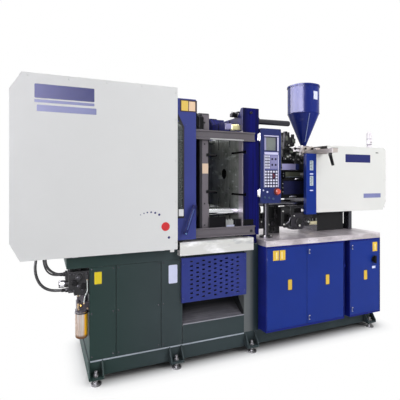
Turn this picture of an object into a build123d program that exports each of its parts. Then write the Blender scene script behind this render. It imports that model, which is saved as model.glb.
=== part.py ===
from build123d import *
import math
import os

os.makedirs("parts", exist_ok=True)

# Injection moulding machine, in millimetres.
# The origin is on the floor, on the centreline, below the mould face of the fixed platen.
# X runs along the machine toward the injection end, the operator stands at -Y, Z is up.

# Clearances
slide_gap = 0.3
shaft_gap = 0.1
door_gap = 2.0
seam_gap = 8.0
cover_gap = 4.0

# Bottom frame and feet
foot_height = 45.0
rail_height = 120.0
rail_width = 90.0
frame_overhang = 11.0
bracket_width = 108.0
bracket_depth = 62.0
bracket_plate = 15.0
gusset_thickness = 10.0
foot_pad_diameter = 76.0
jack_bolt_diameter = 24.0
jack_nut_height = 16.0

# Clamp base
platen_half_width = 365.0
base_skin = 3.0
chute_opening_length = 575.0
base_end_inset = 10.0
bed_overhang = 160.0
bed_end_gap = 12.0
base_body_height = 690.0
bed_beam_height = 80.0
bed_beam_width = 100.0
panel_sheet = 4.0
seam_one_from_left = 193.0
seam_two_from_right = 180.0
bed_way_height = 25.0
bed_way_width = 80.0
bed_way_offset = 240.0

# Chute, slotted guard and mould ledge
chute_lip_height = 159.0
chute_rise = 314.0
chute_sheet = 3.0
guard_height = 362.0
guard_depth = 20.0
guard_sheet = 3.0
guard_overlap = 12.0
slot_length = 27.0
slot_width = 13.0
slot_pitch_x = 53.4
slot_pitch_z = 37.0
slot_side_margin = 50.0
slot_end_margin = 10.0
ledge_height = 107.0
ledge_depth = 60.0
ledge_inner = 68.0
ledge_sheet = 2.0

# Platens and tie bars
axis_rise = 544.0
platen_ground = 76.0
fixed_platen_thickness = 163.0
platen_waist_rise = 505.0
platen_ear_lift = 72.0
platen_ear_width = 35.0
platen_ear_slope = 60.0
tie_bar_diameter = 72.0
tie_bar_half_y = 248.0
tie_bar_half_z = 337.0
tie_nut_diameter = 118.0
tie_nut_length = 58.0
tie_end_length = 16.0
platen_foot_start = 20.0
platen_foot_inset = 21.0
platen_foot_width = 164.0
locating_bore = 100.0
locating_depth = 40.0
nozzle_bore = 150.0
tee_neck = 18.0
tee_head = 32.0
tee_neck_depth = 18.0
tee_head_depth = 14.0
tee_level = 187.0
tee_column = 118.0
tee_inner_y = 150.0
tee_inner_z = 235.0
tapped_half_y = 105.0
tapped_half_z = 140.0
tapped_bore = 14.0
tapped_depth = 36.0
rest_daylight = 318.0
clamp_length = 1290.0
rear_platen_thickness = 150.0
cylinder_diameter = 420.0
cylinder_length = 330.0
ram_diameter = 200.0
ram_flange_diameter = 280.0
ram_flange_thickness = 32.0
ram_end_room = 155.0
moving_side_gap = 15.0
moving_top_drop = 71.0
moving_plate_thickness = 85.0
moving_depth = 282.0
moving_back_plate = 40.0
ejector_box = 340.0
ejector_box_wall = 28.0
ejector_travel = 60.0
ejector_rod_diameter = 24.0
ejector_rod_half = 75.0

# Clamp cover
cover_end_gap = 42.0
cover_right = -636.0
cover_side_gap = 37.0
cover_ground = 20.0
cover_headroom = 91.0
cover_sheet = 3.0
cover_top_cut_x = 73.0
cover_top_cut_z = 117.0
cover_low_cut_x = 64.0
cover_low_cut_z = 123.0

# Gates
rail_section = 78.0
gate_rail_depth = 18.0
top_rail_rise = 320.0
rail_ground = 7.0
rail_overrun = 40.0
rail_right = 115.0
gate_show = 171.0
gate_width = 690.0
gate_headroom = 18.0
gate_depth = 30.0
gate_sheet = 3.0
gate_stile = 113.0
gate_top_bar = 120.0
gate_low_bar = 185.0
window_cut_x = 60.0
window_cut_z = 116.0
window_overlap = 22.0
window_thickness = 5.0
handle_width = 26.0
handle_thickness = 12.0
handle_standoff = 46.0

# Injection base cabinet
cabinet_gap = 2.0
rear_support_inset = 60.0
cabinet_half_width = 494.0
cabinet_foot = 15.0
cabinet_sheet = 4.0
door_frame_depth = 24.0
door_frame_width = 16.0
left_bay_width = 867.0
bay_post_width = 79.0
left_door_width = 431.0
recess_depth = 60.0
door_thickness = 16.0
door_pin_diameter = 8.0
door_pin_length = 10.0
latch_diameter = 32.0
latch_inset = 24.0
latch_from_end = 54.0
worktop_thickness = 49.0
worktop_overhang = 3.0
worktop_end_overhang = 8.0
worktop_sheet = 3.0
switch_inset = 86.0
switch_drop = 209.0

# Injection unit
guide_rod_diameter = 40.0
guide_rod_half = 150.0
guide_rod_drop = 293.0
carriage_run = 88.0
rear_support_thickness = 40.0
injection_reach = 717.0
housing_length = 130.0
housing_rise = 190.0
throat_inset = 67.0
throat_diameter = 50.0
saddle_overlap = 9.0
saddle_length = 351.0
saddle_half_width = 150.0
saddle_height = 202.0
saddle_drop = 90.0
barrel_diameter = 90.0
barrel_reach = 580.0
barrel_bore = 44.0
barrel_flange = 150.0
heater_diameter = 116.0
heater_width = 62.0
heater_left_margin = 30.0
heater_right_margin = 68.0
heater_count = 6
nozzle_length = 120.0
nozzle_diameter = 60.0
injection_cylinder_diameter = 84.0
injection_cylinder_length = 240.0
injection_cylinder_half = 165.0
injection_rod_diameter = 36.0
injection_travel = 120.0
drive_gap = 150.0
drive_plate = 60.0
motor_diameter = 200.0
motor_length = 210.0
cover_inset = 12.0
cover_end_room = 183.0
injection_cover_side_gap = 98.0
injection_cover_headroom = 100.0
injection_cover_radius = 40.0
injection_cover_cut_x = 46.0
injection_cover_cut_z = 90.0
post_width = 123.0
post_depth = 40.0
post_drop = 14.0
post_headroom = 87.0
manifold_reach = 260.0
manifold_rise = 105.0
manifold_half_width = 90.0

# Hopper and its slide
slide_rail_width = 70.0
slide_rail_height = 40.0
slide_rail_front = 470.0
slide_rail_back = 85.0
slide_block_width = 150.0
slide_block_height = 70.0
slide_block_wrap = 22.0
shutter_width = 66.0
shutter_thickness = 6.0
hopper_radius = 164.0
hopper_wall = 3.0
hopper_neck = 12.0
cone_height = 335.0
hopper_cylinder_height = 285.0
lid_height = 26.0
lid_wall = 3.0

# Control panel
panel_gap = 9.0
panel_width = 219.0
panel_ground = 318.0
panel_headroom = 66.0
panel_reach = 86.0
panel_depth = 60.0
panel_post_inset = 113.0
panel_post_setback = 73.0
panel_post_diameter = 50.0
stop_diameter = 50.0

# Left end hydraulics
valve_block_inset = 68.0
valve_block_width = 100.0
valve_block_reach = 166.0
valve_block_drop = 27.0
reservoir_diameter = 94.0
reservoir_drop = 303.0
reservoir_height = 197.0
reservoir_inset = 50.0

# Guard bar behind the fixed platen
guard_bar_drop = 34.0
guard_bar_inset = 47.0
guard_bar_length = 362.0
guard_bar_diameter = 50.0

# Levels and places worked out from the sizes above
base_half_width = platen_half_width + base_skin
frame_top = foot_height + rail_height
body_top = frame_top + base_body_height
bed_top = body_top + bed_beam_height
platen_bottom = bed_top + platen_ground
axis_height = platen_bottom + axis_rise
platen_waist_height = axis_height + platen_waist_rise
platen_ear_height = platen_waist_height + platen_ear_lift
moving_top = platen_ear_height - moving_top_drop
platen_ear_start = platen_half_width - platen_ear_width
platen_foot_outer = platen_half_width - platen_foot_inset
platen_foot_inner = platen_foot_outer - platen_foot_width
moving_half_width = platen_half_width - moving_side_gap
end_post_left = 10.0
base_right = fixed_platen_thickness - base_end_inset
body_right = end_post_left - chute_opening_length
rear_platen_front = -clamp_length
rear_platen_back = rear_platen_front - rear_platen_thickness
cylinder_end = rear_platen_back - cylinder_length
cylinder_bore_end = cylinder_end + 25.0
bed_left = rear_platen_back - bed_end_gap
base_left = bed_left + bed_overhang
moving_face = -rest_daylight
moving_back = moving_face - moving_depth
ram_end = cylinder_bore_end + ram_end_room
gate_front = base_half_width + gate_rail_depth + 2 + gate_depth
gate_rail_left = rear_platen_front - rail_overrun
gate_left = cover_right + gate_show - gate_width
gate_bottom = platen_bottom + rail_ground
gate_top = platen_ear_height + gate_headroom
top_rail_level = axis_height + top_rail_rise
low_rail_level = platen_bottom + rail_ground + rail_section / 2
cover_left_end = cylinder_end - cover_end_gap
cover_half_width = gate_front + cover_side_gap
cover_bottom = bed_top + cover_ground
cover_top = platen_ear_height + cover_headroom
housing_left = fixed_platen_thickness + injection_reach
housing_right = housing_left + housing_length
housing_top = axis_height + housing_rise
hopper_x = housing_left + throat_inset
guide_rod_level = axis_height - guide_rod_drop
saddle_left = housing_right - saddle_overlap
saddle_right = saddle_left + saddle_length
saddle_top = guide_rod_level - saddle_drop
guide_rod_end = saddle_right + carriage_run
barrel_left = housing_left - barrel_reach
heater_left = barrel_left + heater_left_margin
heater_right = housing_left - heater_right_margin
heater_pitch = (heater_right - heater_left - heater_width) / (heater_count - 1)
drive_left = housing_right + injection_cylinder_length + drive_gap
cover_left = housing_left + cover_inset
cover_end = drive_left + drive_plate + motor_length + cover_end_room
injection_cover_half = injection_cylinder_half + injection_cover_side_gap
injection_cover_bottom = saddle_top
injection_cover_top = housing_top + injection_cover_headroom
post_bottom = injection_cover_bottom - post_drop
post_top = injection_cover_top - post_headroom
worktop_top = saddle_top - saddle_height
cabinet_left = base_right + cabinet_gap
cabinet_right = guide_rod_end + rear_support_inset
cabinet_bottom = frame_top + cabinet_foot
cabinet_top = worktop_top - worktop_thickness
left_bay_left = cabinet_left + 5.0
left_bay_right = left_bay_left + left_bay_width
right_bay_left = left_bay_right + bay_post_width
right_bay_right = cabinet_right - 3.0
door_seam = left_bay_left + left_door_width
switch_x = right_bay_right - switch_inset
switch_z = cabinet_top - switch_drop
worktop_right = cabinet_right + worktop_end_overhang
frame_left = base_left - frame_overhang
frame_right = cabinet_right + frame_overhang
guard_bar_y = -platen_half_width + guard_bar_inset
guard_bar_z = platen_waist_height - guard_bar_drop
panel_left = fixed_platen_thickness + panel_gap
panel_post_x = panel_left + panel_post_inset
panel_post_y = platen_half_width - panel_post_setback
panel_front = panel_post_y + panel_reach
panel_bottom = worktop_top + panel_ground
panel_top = guard_bar_z - panel_headroom
manifold_left = housing_left - manifold_reach
manifold_base = axis_height + manifold_rise
valve_y = -base_half_width + valve_block_inset
slide_rail_bottom = housing_top + 15.0
slide_rail_top = slide_rail_bottom + slide_rail_height
hopper_bottom = slide_rail_top + slide_gap + slide_block_height - slide_block_wrap
cone_top = hopper_bottom + hopper_neck + cone_height
hopper_top = cone_top + hopper_cylinder_height


def block(x, y, z, mode=Mode.ADD):
    """Add or cut a block given by its pairs of faces in the open part."""
    middle = (sum(x) / 2, sum(y) / 2, sum(z) / 2)
    with Locations(middle):
        Box(x[1] - x[0], y[1] - y[0], z[1] - z[0], mode=mode)


def rod_x(x, y, z, diameter, mode=Mode.ADD):
    """Add or cut a round bar along X in the open part."""
    with Locations(Location(((x[0] + x[1]) / 2, y, z), (0, 90, 0))):
        Cylinder(diameter / 2, abs(x[1] - x[0]), mode=mode)


def rod_y(x, y, z, diameter, mode=Mode.ADD):
    """Add or cut a round bar along Y in the open part."""
    with Locations(Location((x, (y[0] + y[1]) / 2, z), (90, 0, 0))):
        Cylinder(diameter / 2, abs(y[1] - y[0]), mode=mode)


def rod_z(x, y, z, diameter, mode=Mode.ADD):
    """Add or cut a round bar along Z in the open part."""
    with Locations((x, y, (z[0] + z[1]) / 2)):
        Cylinder(diameter / 2, abs(z[1] - z[0]), mode=mode)


def mirrored(y):
    """The same pair of faces on the other side of the centreline."""
    return (-y[1], -y[0])


# Bottom frame: a welded ladder with foot brackets on both long sides
cabinet_middle = cabinet_left + 625.0
cross_members = (frame_left + 45, body_right - 45, end_post_left + 70, cabinet_middle, frame_right - 45)
foot_places = (frame_left + 54, body_right - 60, end_post_left + 62, frame_right - 48)

with BuildPart() as bottom_frame:
    with BuildSketch(Plane.XY.offset(foot_height)):
        with Locations(((frame_left + frame_right) / 2, 0)):
            Rectangle(frame_right - frame_left, 2 * base_half_width)
        for start, end in zip(cross_members, cross_members[1:]):
            with Locations(((start + end) / 2, 0)):
                Rectangle(end - start - rail_width, 2 * (base_half_width - rail_width), mode=Mode.SUBTRACT)
    extrude(amount=rail_height)
    for foot_x in foot_places:
        for side in (-1, 1):
            face = side * base_half_width
            tip = side * (base_half_width + bracket_depth)
            span = (min(face, tip), max(face, tip))
            block(
                (foot_x - bracket_width / 2, foot_x + bracket_width / 2),
                span,
                (foot_height, foot_height + bracket_plate),
            )
            for edge in (-1, 1):
                gusset_x = foot_x + edge * (bracket_width - gusset_thickness) / 2
                with BuildSketch(Plane.YZ.offset(gusset_x)):
                    with BuildLine():
                        Polyline(
                            (face, foot_height + bracket_plate),
                            (tip, foot_height + bracket_plate),
                            (tip, foot_height + bracket_plate + 12),
                            (face, frame_top),
                            close=True,
                        )
                    make_face()
                extrude(amount=gusset_thickness / 2, both=True)
            hole_y = side * (base_half_width + bracket_depth / 2)
            rod_z(
                foot_x,
                hole_y,
                (foot_height - 1, foot_height + bracket_plate + 1),
                jack_bolt_diameter + 2,
                Mode.SUBTRACT,
            )
bottom_frame.part.label = "bottom_frame"
export_step(bottom_frame.part, "parts/bottom_frame.step")

# Levelling feet: pad, jack bolt and its two nuts, eight times
with BuildPart() as levelling_feet:
    for foot_x in foot_places:
        for side in (-1, 1):
            foot_y = side * (base_half_width + bracket_depth / 2)
            bolt_top = foot_height + bracket_plate + jack_nut_height + 22
            rod_z(foot_x, foot_y, (0, 12), foot_pad_diameter)
            rod_z(foot_x, foot_y, (12, 22), foot_pad_diameter / 2)
            rod_z(foot_x, foot_y, (22, bolt_top), jack_bolt_diameter)
            for nut_bottom in (foot_height - jack_nut_height, foot_height + bracket_plate):
                with BuildSketch(Plane.XY.offset(nut_bottom)):
                    with Locations((foot_x, foot_y)):
                        RegularPolygon(radius=20, side_count=6)
                extrude(amount=jack_nut_height)
levelling_feet.part.label = "levelling_feet"
export_step(levelling_feet.part, "parts/levelling_feet.step")

# Clamp base body: a closed sheet housing on the frame, left of the chute
body_half_width = base_half_width - panel_sheet
with BuildPart() as clamp_base_body:
    block((base_left, body_right), (-body_half_width, body_half_width), (frame_top, body_top))
    bottom_face = clamp_base_body.faces().sort_by(Axis.Z)[0]
    offset(amount=-6, openings=bottom_face)
clamp_base_body.part.label = "clamp_base_body"
export_step(clamp_base_body.part, "parts/clamp_base_body.step")

# Clamp bed: top frame with hardened ways, and the two posts beside the chute
with BuildPart() as clamp_bed:
    with BuildSketch(Plane.XY.offset(body_top)):
        with Locations(((bed_left + base_right) / 2, 0)):
            Rectangle(base_right - bed_left, 2 * base_half_width)
        bed_bays = (
            (bed_left + bed_beam_width, base_left - 20),
            (base_left + bed_beam_width, body_right - bed_beam_width),
            (body_right, end_post_left),
        )
        for start, end in bed_bays:
            with Locations(((start + end) / 2, 0)):
                Rectangle(end - start, 2 * (base_half_width - bed_beam_width), mode=Mode.SUBTRACT)
    extrude(amount=bed_beam_height)
    for side in (-1, 1):
        block(
            (rear_platen_front + 60, -40),
            (side * bed_way_offset - bed_way_width / 2, side * bed_way_offset + bed_way_width / 2),
            (bed_top, bed_top + bed_way_height),
        )
        post_y = (-base_half_width, -base_half_width + bed_beam_width)
        if side > 0:
            post_y = mirrored(post_y)
        block((end_post_left, base_right), post_y, (frame_top, body_top))
    # The ways stand on the side beams through short webs over the open bays
    for side in (-1, 1):
        inner = side * (bed_way_offset - bed_way_width / 2)
        outer = side * base_half_width
        block(
            (rear_platen_front + 60, -40),
            (min(inner, outer), max(inner, outer)),
            (bed_top - 20, bed_top),
        )
clamp_bed.part.label = "clamp_bed"
export_step(clamp_bed.part, "parts/clamp_bed.step")

# Removable base panels on both sides, with the plate below the chute
seam_one = base_left + seam_one_from_left
seam_two = body_right - seam_two_from_right
panel_spans = (
    (base_left, seam_one - seam_gap / 2),
    (seam_one + seam_gap / 2, seam_two - seam_gap / 2),
    (seam_two + seam_gap / 2, body_right),
)
with BuildPart() as base_panels:
    for side in (-1, 1):
        sheet_y = (-base_half_width, -body_half_width)
        if side > 0:
            sheet_y = mirrored(sheet_y)
        for span in panel_spans:
            block(span, sheet_y, (frame_top + 2, body_top - 2))
        block((body_right + 4, end_post_left - 0.5), sheet_y, (frame_top, frame_top + chute_lip_height))
base_panels.part.label = "base_panels"
export_step(base_panels.part, "parts/base_panels.step")

# Parts chute: a bent sheet with side walls, from the rear beam down to the front lip
chute_lip_z = frame_top + chute_lip_height
chute_back = base_half_width - bed_beam_width
chute_left = body_right + 2
chute_right = end_post_left - 2
with BuildPart() as parts_chute:
    with BuildSketch(Plane.YZ.offset(chute_left)):
        with BuildLine():
            Polyline(
                (-base_half_width, chute_lip_z),
                (-body_half_width + 8, chute_lip_z),
                (chute_back - chute_sheet, chute_lip_z + chute_rise),
                (chute_back - chute_sheet, body_top),
                (chute_back, body_top),
                (chute_back, chute_lip_z + chute_rise - chute_sheet),
                (-body_half_width + 10, chute_lip_z - chute_sheet),
                (-base_half_width, chute_lip_z - chute_sheet),
                close=True,
            )
        make_face()
    extrude(amount=chute_right - chute_left)
    block((chute_left, chute_right), (chute_back, chute_back + 30), (body_top - chute_sheet, body_top))
    for wall_x in (chute_left, chute_right - chute_sheet):
        with BuildSketch(Plane.YZ.offset(wall_x)):
            with BuildLine():
                Polyline(
                    (-body_half_width + 8, chute_lip_z),
                    (-body_half_width + 8, chute_lip_z + 30),
                    (chute_back - 130, body_top - 40),
                    (chute_back - chute_sheet, body_top - 40),
                    (chute_back - chute_sheet, chute_lip_z + chute_rise),
                    close=True,
                )
            make_face()
        extrude(amount=chute_sheet)
    # The front edge lies on the plate below it
    block(
        (chute_left, chute_right),
        (-base_half_width, -body_half_width),
        (chute_lip_z - chute_sheet, chute_lip_z),
        Mode.SUBTRACT,
    )
    block(
        (chute_left, chute_right),
        (-base_half_width, -body_half_width + 1),
        (chute_lip_z, chute_lip_z + chute_sheet),
    )
    block(
        (chute_left, chute_right),
        (-body_half_width, -body_half_width + chute_sheet),
        (chute_lip_z - chute_sheet, chute_lip_z + chute_sheet),
    )
parts_chute.part.label = "parts_chute"
export_step(parts_chute.part, "parts/parts_chute.step")

# Slotted guard: a folded sheet with staggered short slots over the chute opening
guard_left = body_right - guard_overlap
guard_right = end_post_left + guard_overlap
guard_top = body_top + 10
guard_bottom = guard_top - guard_height
guard_front = -base_half_width - guard_depth
slot_columns = int((guard_right - guard_left - 2 * slot_side_margin) // slot_pitch_x)
slot_rows = int((guard_height - 2 * slot_end_margin) // slot_pitch_z)
with BuildPart() as slotted_guard:
    block((guard_left, guard_right), (guard_front, -base_half_width), (guard_bottom, guard_top))
    guard_back = slotted_guard.faces().sort_by(Axis.Y)[-1]
    offset(amount=-guard_sheet, openings=guard_back)
    guard_middle = ((guard_left + guard_right) / 2, (guard_bottom + guard_top) / 2)
    slot_places = []
    for column in range(slot_columns):
        rows = slot_rows - column % 2
        for row in range(rows):
            slot_places.append(
                (
                    guard_middle[0] + (column - (slot_columns - 1) / 2) * slot_pitch_x,
                    guard_middle[1] + (row - (rows - 1) / 2) * slot_pitch_z,
                )
            )
    with BuildSketch(Plane.XZ.offset(-guard_front + 1)):
        with Locations(*slot_places):
            SlotOverall(slot_length, slot_width)
    extrude(amount=-guard_sheet - 2, mode=Mode.SUBTRACT)
slotted_guard.part.label = "slotted_guard"
export_step(slotted_guard.part, "parts/slotted_guard.step")

# Mould ledge: stainless sheet folded over the front beam
ledge_bottom = bed_top - 42
ledge_top = ledge_bottom + ledge_height
ledge_left = body_right - 42
ledge_right = 70.0
ledge_front = -base_half_width - ledge_depth
with BuildPart() as mould_ledge:
    with BuildSketch(Plane.YZ.offset(ledge_left)):
        with BuildLine():
            Polyline(
                (ledge_front, ledge_bottom),
                (-base_half_width, ledge_bottom),
                (-base_half_width, bed_top - 4),
                (-base_half_width - ledge_sheet, bed_top - 4),
                (-base_half_width - ledge_sheet, ledge_bottom + ledge_sheet),
                (ledge_front + ledge_sheet, ledge_bottom + ledge_sheet),
                (ledge_front + ledge_sheet, ledge_top - ledge_sheet),
                (ledge_front + ledge_depth + ledge_inner, ledge_top - ledge_sheet),
                (ledge_front + ledge_depth + ledge_inner, ledge_top),
                (ledge_front, ledge_top),
                close=True,
            )
        make_face()
    extrude(amount=ledge_right - ledge_left)
    block(
        (ledge_right - ledge_sheet, ledge_right),
        (ledge_front, -base_half_width),
        (ledge_bottom, ledge_top),
    )
    # Notch round the foot of the fixed platen
    block(
        (platen_foot_start - 6, ledge_right + 1),
        (-platen_foot_outer - 4, -base_half_width + ledge_inner + 1),
        (ledge_top - ledge_sheet - 1, ledge_top + 1),
        Mode.SUBTRACT,
    )
mould_ledge.part.label = "mould_ledge"
export_step(mould_ledge.part, "parts/mould_ledge.step")


# Platens
def platen_outline(half_width, bottom):
    """Draw a platen seen along the machine, with raised ears over the tie bars."""
    ear_inner = platen_ear_start - platen_ear_slope
    with BuildLine() as outline:
        Polyline(
            (-half_width, bottom),
            (half_width, bottom),
            (half_width, platen_ear_height),
            (platen_ear_start, platen_ear_height),
            (ear_inner, platen_waist_height),
            (-ear_inner, platen_waist_height),
            (-platen_ear_start, platen_ear_height),
            (-half_width, platen_ear_height),
            close=True,
        )
    return outline.line


def tie_places():
    """The four tie bar centres in the YZ plane."""
    return [
        (side * tie_bar_half_y, axis_height + level * tie_bar_half_z)
        for side in (-1, 1)
        for level in (-1, 1)
    ]


def tee_slots(half_width, bottom, top):
    """Cut the T-slots of the fixed platen's mould face in the open part."""
    neck = (-1, tee_neck_depth)
    head = (tee_neck_depth, tee_neck_depth + tee_head_depth)
    for span_x, width in ((neck, tee_neck), (head, tee_head)):
        for level in (-1, 1):
            z_middle = axis_height + level * tee_level
            z_span = (z_middle - width / 2, z_middle + width / 2)
            block(span_x, (-half_width - 1, -tee_inner_y), z_span, Mode.SUBTRACT)
            block(span_x, (tee_inner_y, half_width + 1), z_span, Mode.SUBTRACT)
        for side in (-1, 1):
            y_middle = side * tee_column
            y_span = (y_middle - width / 2, y_middle + width / 2)
            block(span_x, y_span, (axis_height + tee_inner_z, top + 1), Mode.SUBTRACT)
            block(span_x, y_span, (bottom - 1, axis_height - tee_inner_z), Mode.SUBTRACT)


tapped_places = [
    (side * tapped_half_y, axis_height + level * tapped_half_z) for side in (-1, 1) for level in (-1, 1)
]

# Fixed platen: cast plate with T-slots in front and ribbed pockets behind
with BuildPart() as fixed_platen:
    with BuildSketch(Plane.YZ):
        make_face(platen_outline(platen_half_width, platen_bottom))
        with Locations(*tie_places()):
            Circle(tie_bar_diameter / 2 + shaft_gap, mode=Mode.SUBTRACT)
    extrude(amount=fixed_platen_thickness)
    for foot_y in ((-platen_foot_outer, -platen_foot_inner), (platen_foot_inner, platen_foot_outer)):
        block((platen_foot_start, fixed_platen_thickness - 13), foot_y, (bed_top, platen_bottom))
    tee_slots(platen_half_width, platen_bottom, platen_waist_height)
    rod_x((-1, fixed_platen_thickness + 1), 0, axis_height, locating_bore, Mode.SUBTRACT)
    with BuildSketch(Plane.XZ):
        with BuildLine():
            Polyline(
                (locating_depth, axis_height),
                (locating_depth, axis_height + locating_bore / 2),
                (fixed_platen_thickness + 1, axis_height + nozzle_bore / 2),
                (fixed_platen_thickness + 1, axis_height),
                close=True,
            )
        make_face()
    revolve(axis=Axis((0, 0, axis_height), (1, 0, 0)), mode=Mode.SUBTRACT)
    with BuildSketch(Plane.YZ.offset(-1)):
        with Locations(*tapped_places):
            Circle(tapped_bore / 2)
    extrude(amount=tapped_depth + 1, mode=Mode.SUBTRACT)
    with BuildSketch(Plane.YZ.offset(fixed_platen_thickness)):
        with Locations((0, axis_height + tie_bar_half_z), (0, axis_height - tie_bar_half_z)):
            RectangleRounded(240, 220, 24)
        with Locations((-tie_bar_half_y, axis_height), (tie_bar_half_y, axis_height)):
            RectangleRounded(150, 360, 24)
    extrude(amount=-90, mode=Mode.SUBTRACT)
fixed_platen.part.label = "fixed_platen"
export_step(fixed_platen.part, "parts/fixed_platen.step")

# Rear platen with the clamp cylinder cast on, and the port block that the hoses reach
port_left = rear_platen_back - 235
port_right = rear_platen_back - 90
port_bottom = cover_bottom + 50
with BuildPart() as rear_platen:
    with BuildSketch(Plane.YZ.offset(rear_platen_back)):
        make_face(platen_outline(platen_half_width, platen_bottom))
        with Locations(*tie_places()):
            Circle(tie_bar_diameter / 2 + shaft_gap, mode=Mode.SUBTRACT)
    extrude(amount=rear_platen_thickness)
    for foot_y in ((-platen_foot_outer, -platen_foot_inner), (platen_foot_inner, platen_foot_outer)):
        block((rear_platen_back + 10, rear_platen_front - 10), foot_y, (bed_top, platen_bottom))
    with BuildSketch(Plane.XZ):
        with BuildLine():
            Polyline(
                (rear_platen_back + 5, axis_height),
                (rear_platen_back + 5, axis_height + cylinder_diameter / 2 + 22),
                (rear_platen_back - 30, axis_height + cylinder_diameter / 2),
                (cylinder_end + 20, axis_height + cylinder_diameter / 2),
                (cylinder_end, axis_height + cylinder_diameter / 2 - 20),
                (cylinder_end, axis_height),
                close=True,
            )
        make_face()
    revolve(axis=Axis((0, 0, axis_height), (1, 0, 0)))
    block((port_left, port_right), (valve_y - 30, valve_y + 150), (port_bottom, axis_height - 20))
    rod_x(
        (cylinder_bore_end, rear_platen_front + 1),
        0,
        axis_height,
        ram_diameter + 2 * slide_gap,
        Mode.SUBTRACT,
    )
rear_platen.part.label = "rear_platen"
export_step(rear_platen.part, "parts/rear_platen.step")

# Tie bars with their end nuts
tie_left = rear_platen_back - tie_nut_length - tie_end_length
tie_right = fixed_platen_thickness + tie_nut_length + tie_end_length
with BuildPart() as tie_bars:
    for tie_y, tie_z in tie_places():
        rod_x((tie_left, tie_right), tie_y, tie_z, tie_bar_diameter)
    nut_faces = (rear_platen_back - tie_nut_length, fixed_platen_thickness)
    for nut_face in nut_faces:
        with BuildSketch(Plane.YZ.offset(nut_face)):
            with Locations(*tie_places()):
                RegularPolygon(radius=tie_nut_diameter / 2, side_count=12)
        extrude(amount=tie_nut_length)
tie_bars.part.label = "tie_bars"
export_step(tie_bars.part, "parts/tie_bars.step")

# Moving platen: mould plate, back plate, ejector box and tie bar bosses on shoes
moving_bottom = bed_top + bed_way_height + slide_gap
with BuildPart() as moving_platen:
    with BuildSketch(Plane.YZ.offset(moving_face - moving_plate_thickness)):
        with Locations((0, (platen_bottom + 19 + moving_top) / 2)):
            RectangleRounded(2 * moving_half_width, moving_top - platen_bottom - 19, 20)
    extrude(amount=moving_plate_thickness)
    with BuildSketch(Plane.YZ.offset(moving_back)):
        with Locations((0, axis_height)):
            RectangleRounded(2 * moving_half_width - 60, 2 * tie_bar_half_z + 150, 60)
    extrude(amount=moving_back_plate)
    with BuildSketch(Plane.YZ.offset(moving_back)):
        with Locations(*tie_places()):
            Circle(tie_bar_diameter / 2 + 30)
        with Locations((0, axis_height)):
            Rectangle(ejector_box, ejector_box)
        for side in (-1, 1):
            with Locations((side * 120, axis_height)):
                Rectangle(26, 2 * tie_bar_half_z + 60)
    extrude(amount=moving_depth - 1)
    for side in (-1, 1):
        block(
            (moving_back, moving_face),
            (side * bed_way_offset - bed_way_width / 2, side * bed_way_offset + bed_way_width / 2),
            (moving_bottom, platen_bottom + 100),
        )
    inner_box = ejector_box / 2 - ejector_box_wall
    block(
        (moving_back + moving_back_plate, moving_face - moving_plate_thickness),
        (-inner_box, inner_box),
        (axis_height - inner_box, axis_height + inner_box),
        Mode.SUBTRACT,
    )
    for tie_y, tie_z in tie_places():
        rod_x(
            (moving_back - 1, moving_face + 1),
            tie_y,
            tie_z,
            tie_bar_diameter + 2 * slide_gap,
            Mode.SUBTRACT,
        )
    rod_x((moving_face - 30, moving_face + 1), 0, axis_height, locating_bore, Mode.SUBTRACT)
    for side in (-1, 1):
        for level in (-1, 1):
            rod_x(
                (moving_face - moving_plate_thickness - 1, moving_face + 1),
                side * ejector_rod_half,
                axis_height + level * ejector_rod_half,
                ejector_rod_diameter + 1,
                Mode.SUBTRACT,
            )
    with BuildSketch(Plane.YZ.offset(moving_face + 1)):
        with Locations(*tapped_places):
            Circle(tapped_bore / 2)
    extrude(amount=-tapped_depth - 1, mode=Mode.SUBTRACT)
moving_platen.part.label = "moving_platen"
export_step(moving_platen.part, "parts/moving_platen.step")

# Clamp ram: turned bar with a bolted flange
with BuildPart() as clamp_ram:
    with BuildSketch(Plane.XZ):
        with BuildLine():
            Polyline(
                (moving_back, axis_height),
                (moving_back, axis_height + ram_flange_diameter / 2),
                (moving_back - ram_flange_thickness, axis_height + ram_flange_diameter / 2),
                (moving_back - ram_flange_thickness, axis_height + ram_diameter / 2),
                (ram_end + 8, axis_height + ram_diameter / 2),
                (ram_end, axis_height + ram_diameter / 2 - 8),
                (ram_end, axis_height),
                close=True,
            )
        make_face()
    revolve(axis=Axis((0, 0, axis_height), (1, 0, 0)))
clamp_ram.part.label = "clamp_ram"
export_step(clamp_ram.part, "parts/clamp_ram.step")

# Ejector cylinder inside the box of the moving platen
ejector_back = moving_back + moving_back_plate
ejector_cylinder_length = 66.0
ejector_plate_thickness = 25.0
ejector_stand = 20.0
with BuildPart() as ejector_cylinder:
    rod_x((ejector_back, ejector_back + ejector_cylinder_length), 0, axis_height, 110)
    block(
        (ejector_back, ejector_back + 14),
        (-75, 75),
        (axis_height - 75, axis_height + 75),
    )
    rod_x(
        (ejector_back + 6, ejector_back + ejector_cylinder_length + 1),
        0,
        axis_height,
        30 + 2 * slide_gap,
        Mode.SUBTRACT,
    )
ejector_cylinder.part.label = "ejector_cylinder"
export_step(ejector_cylinder.part, "parts/ejector_cylinder.step")

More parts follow.
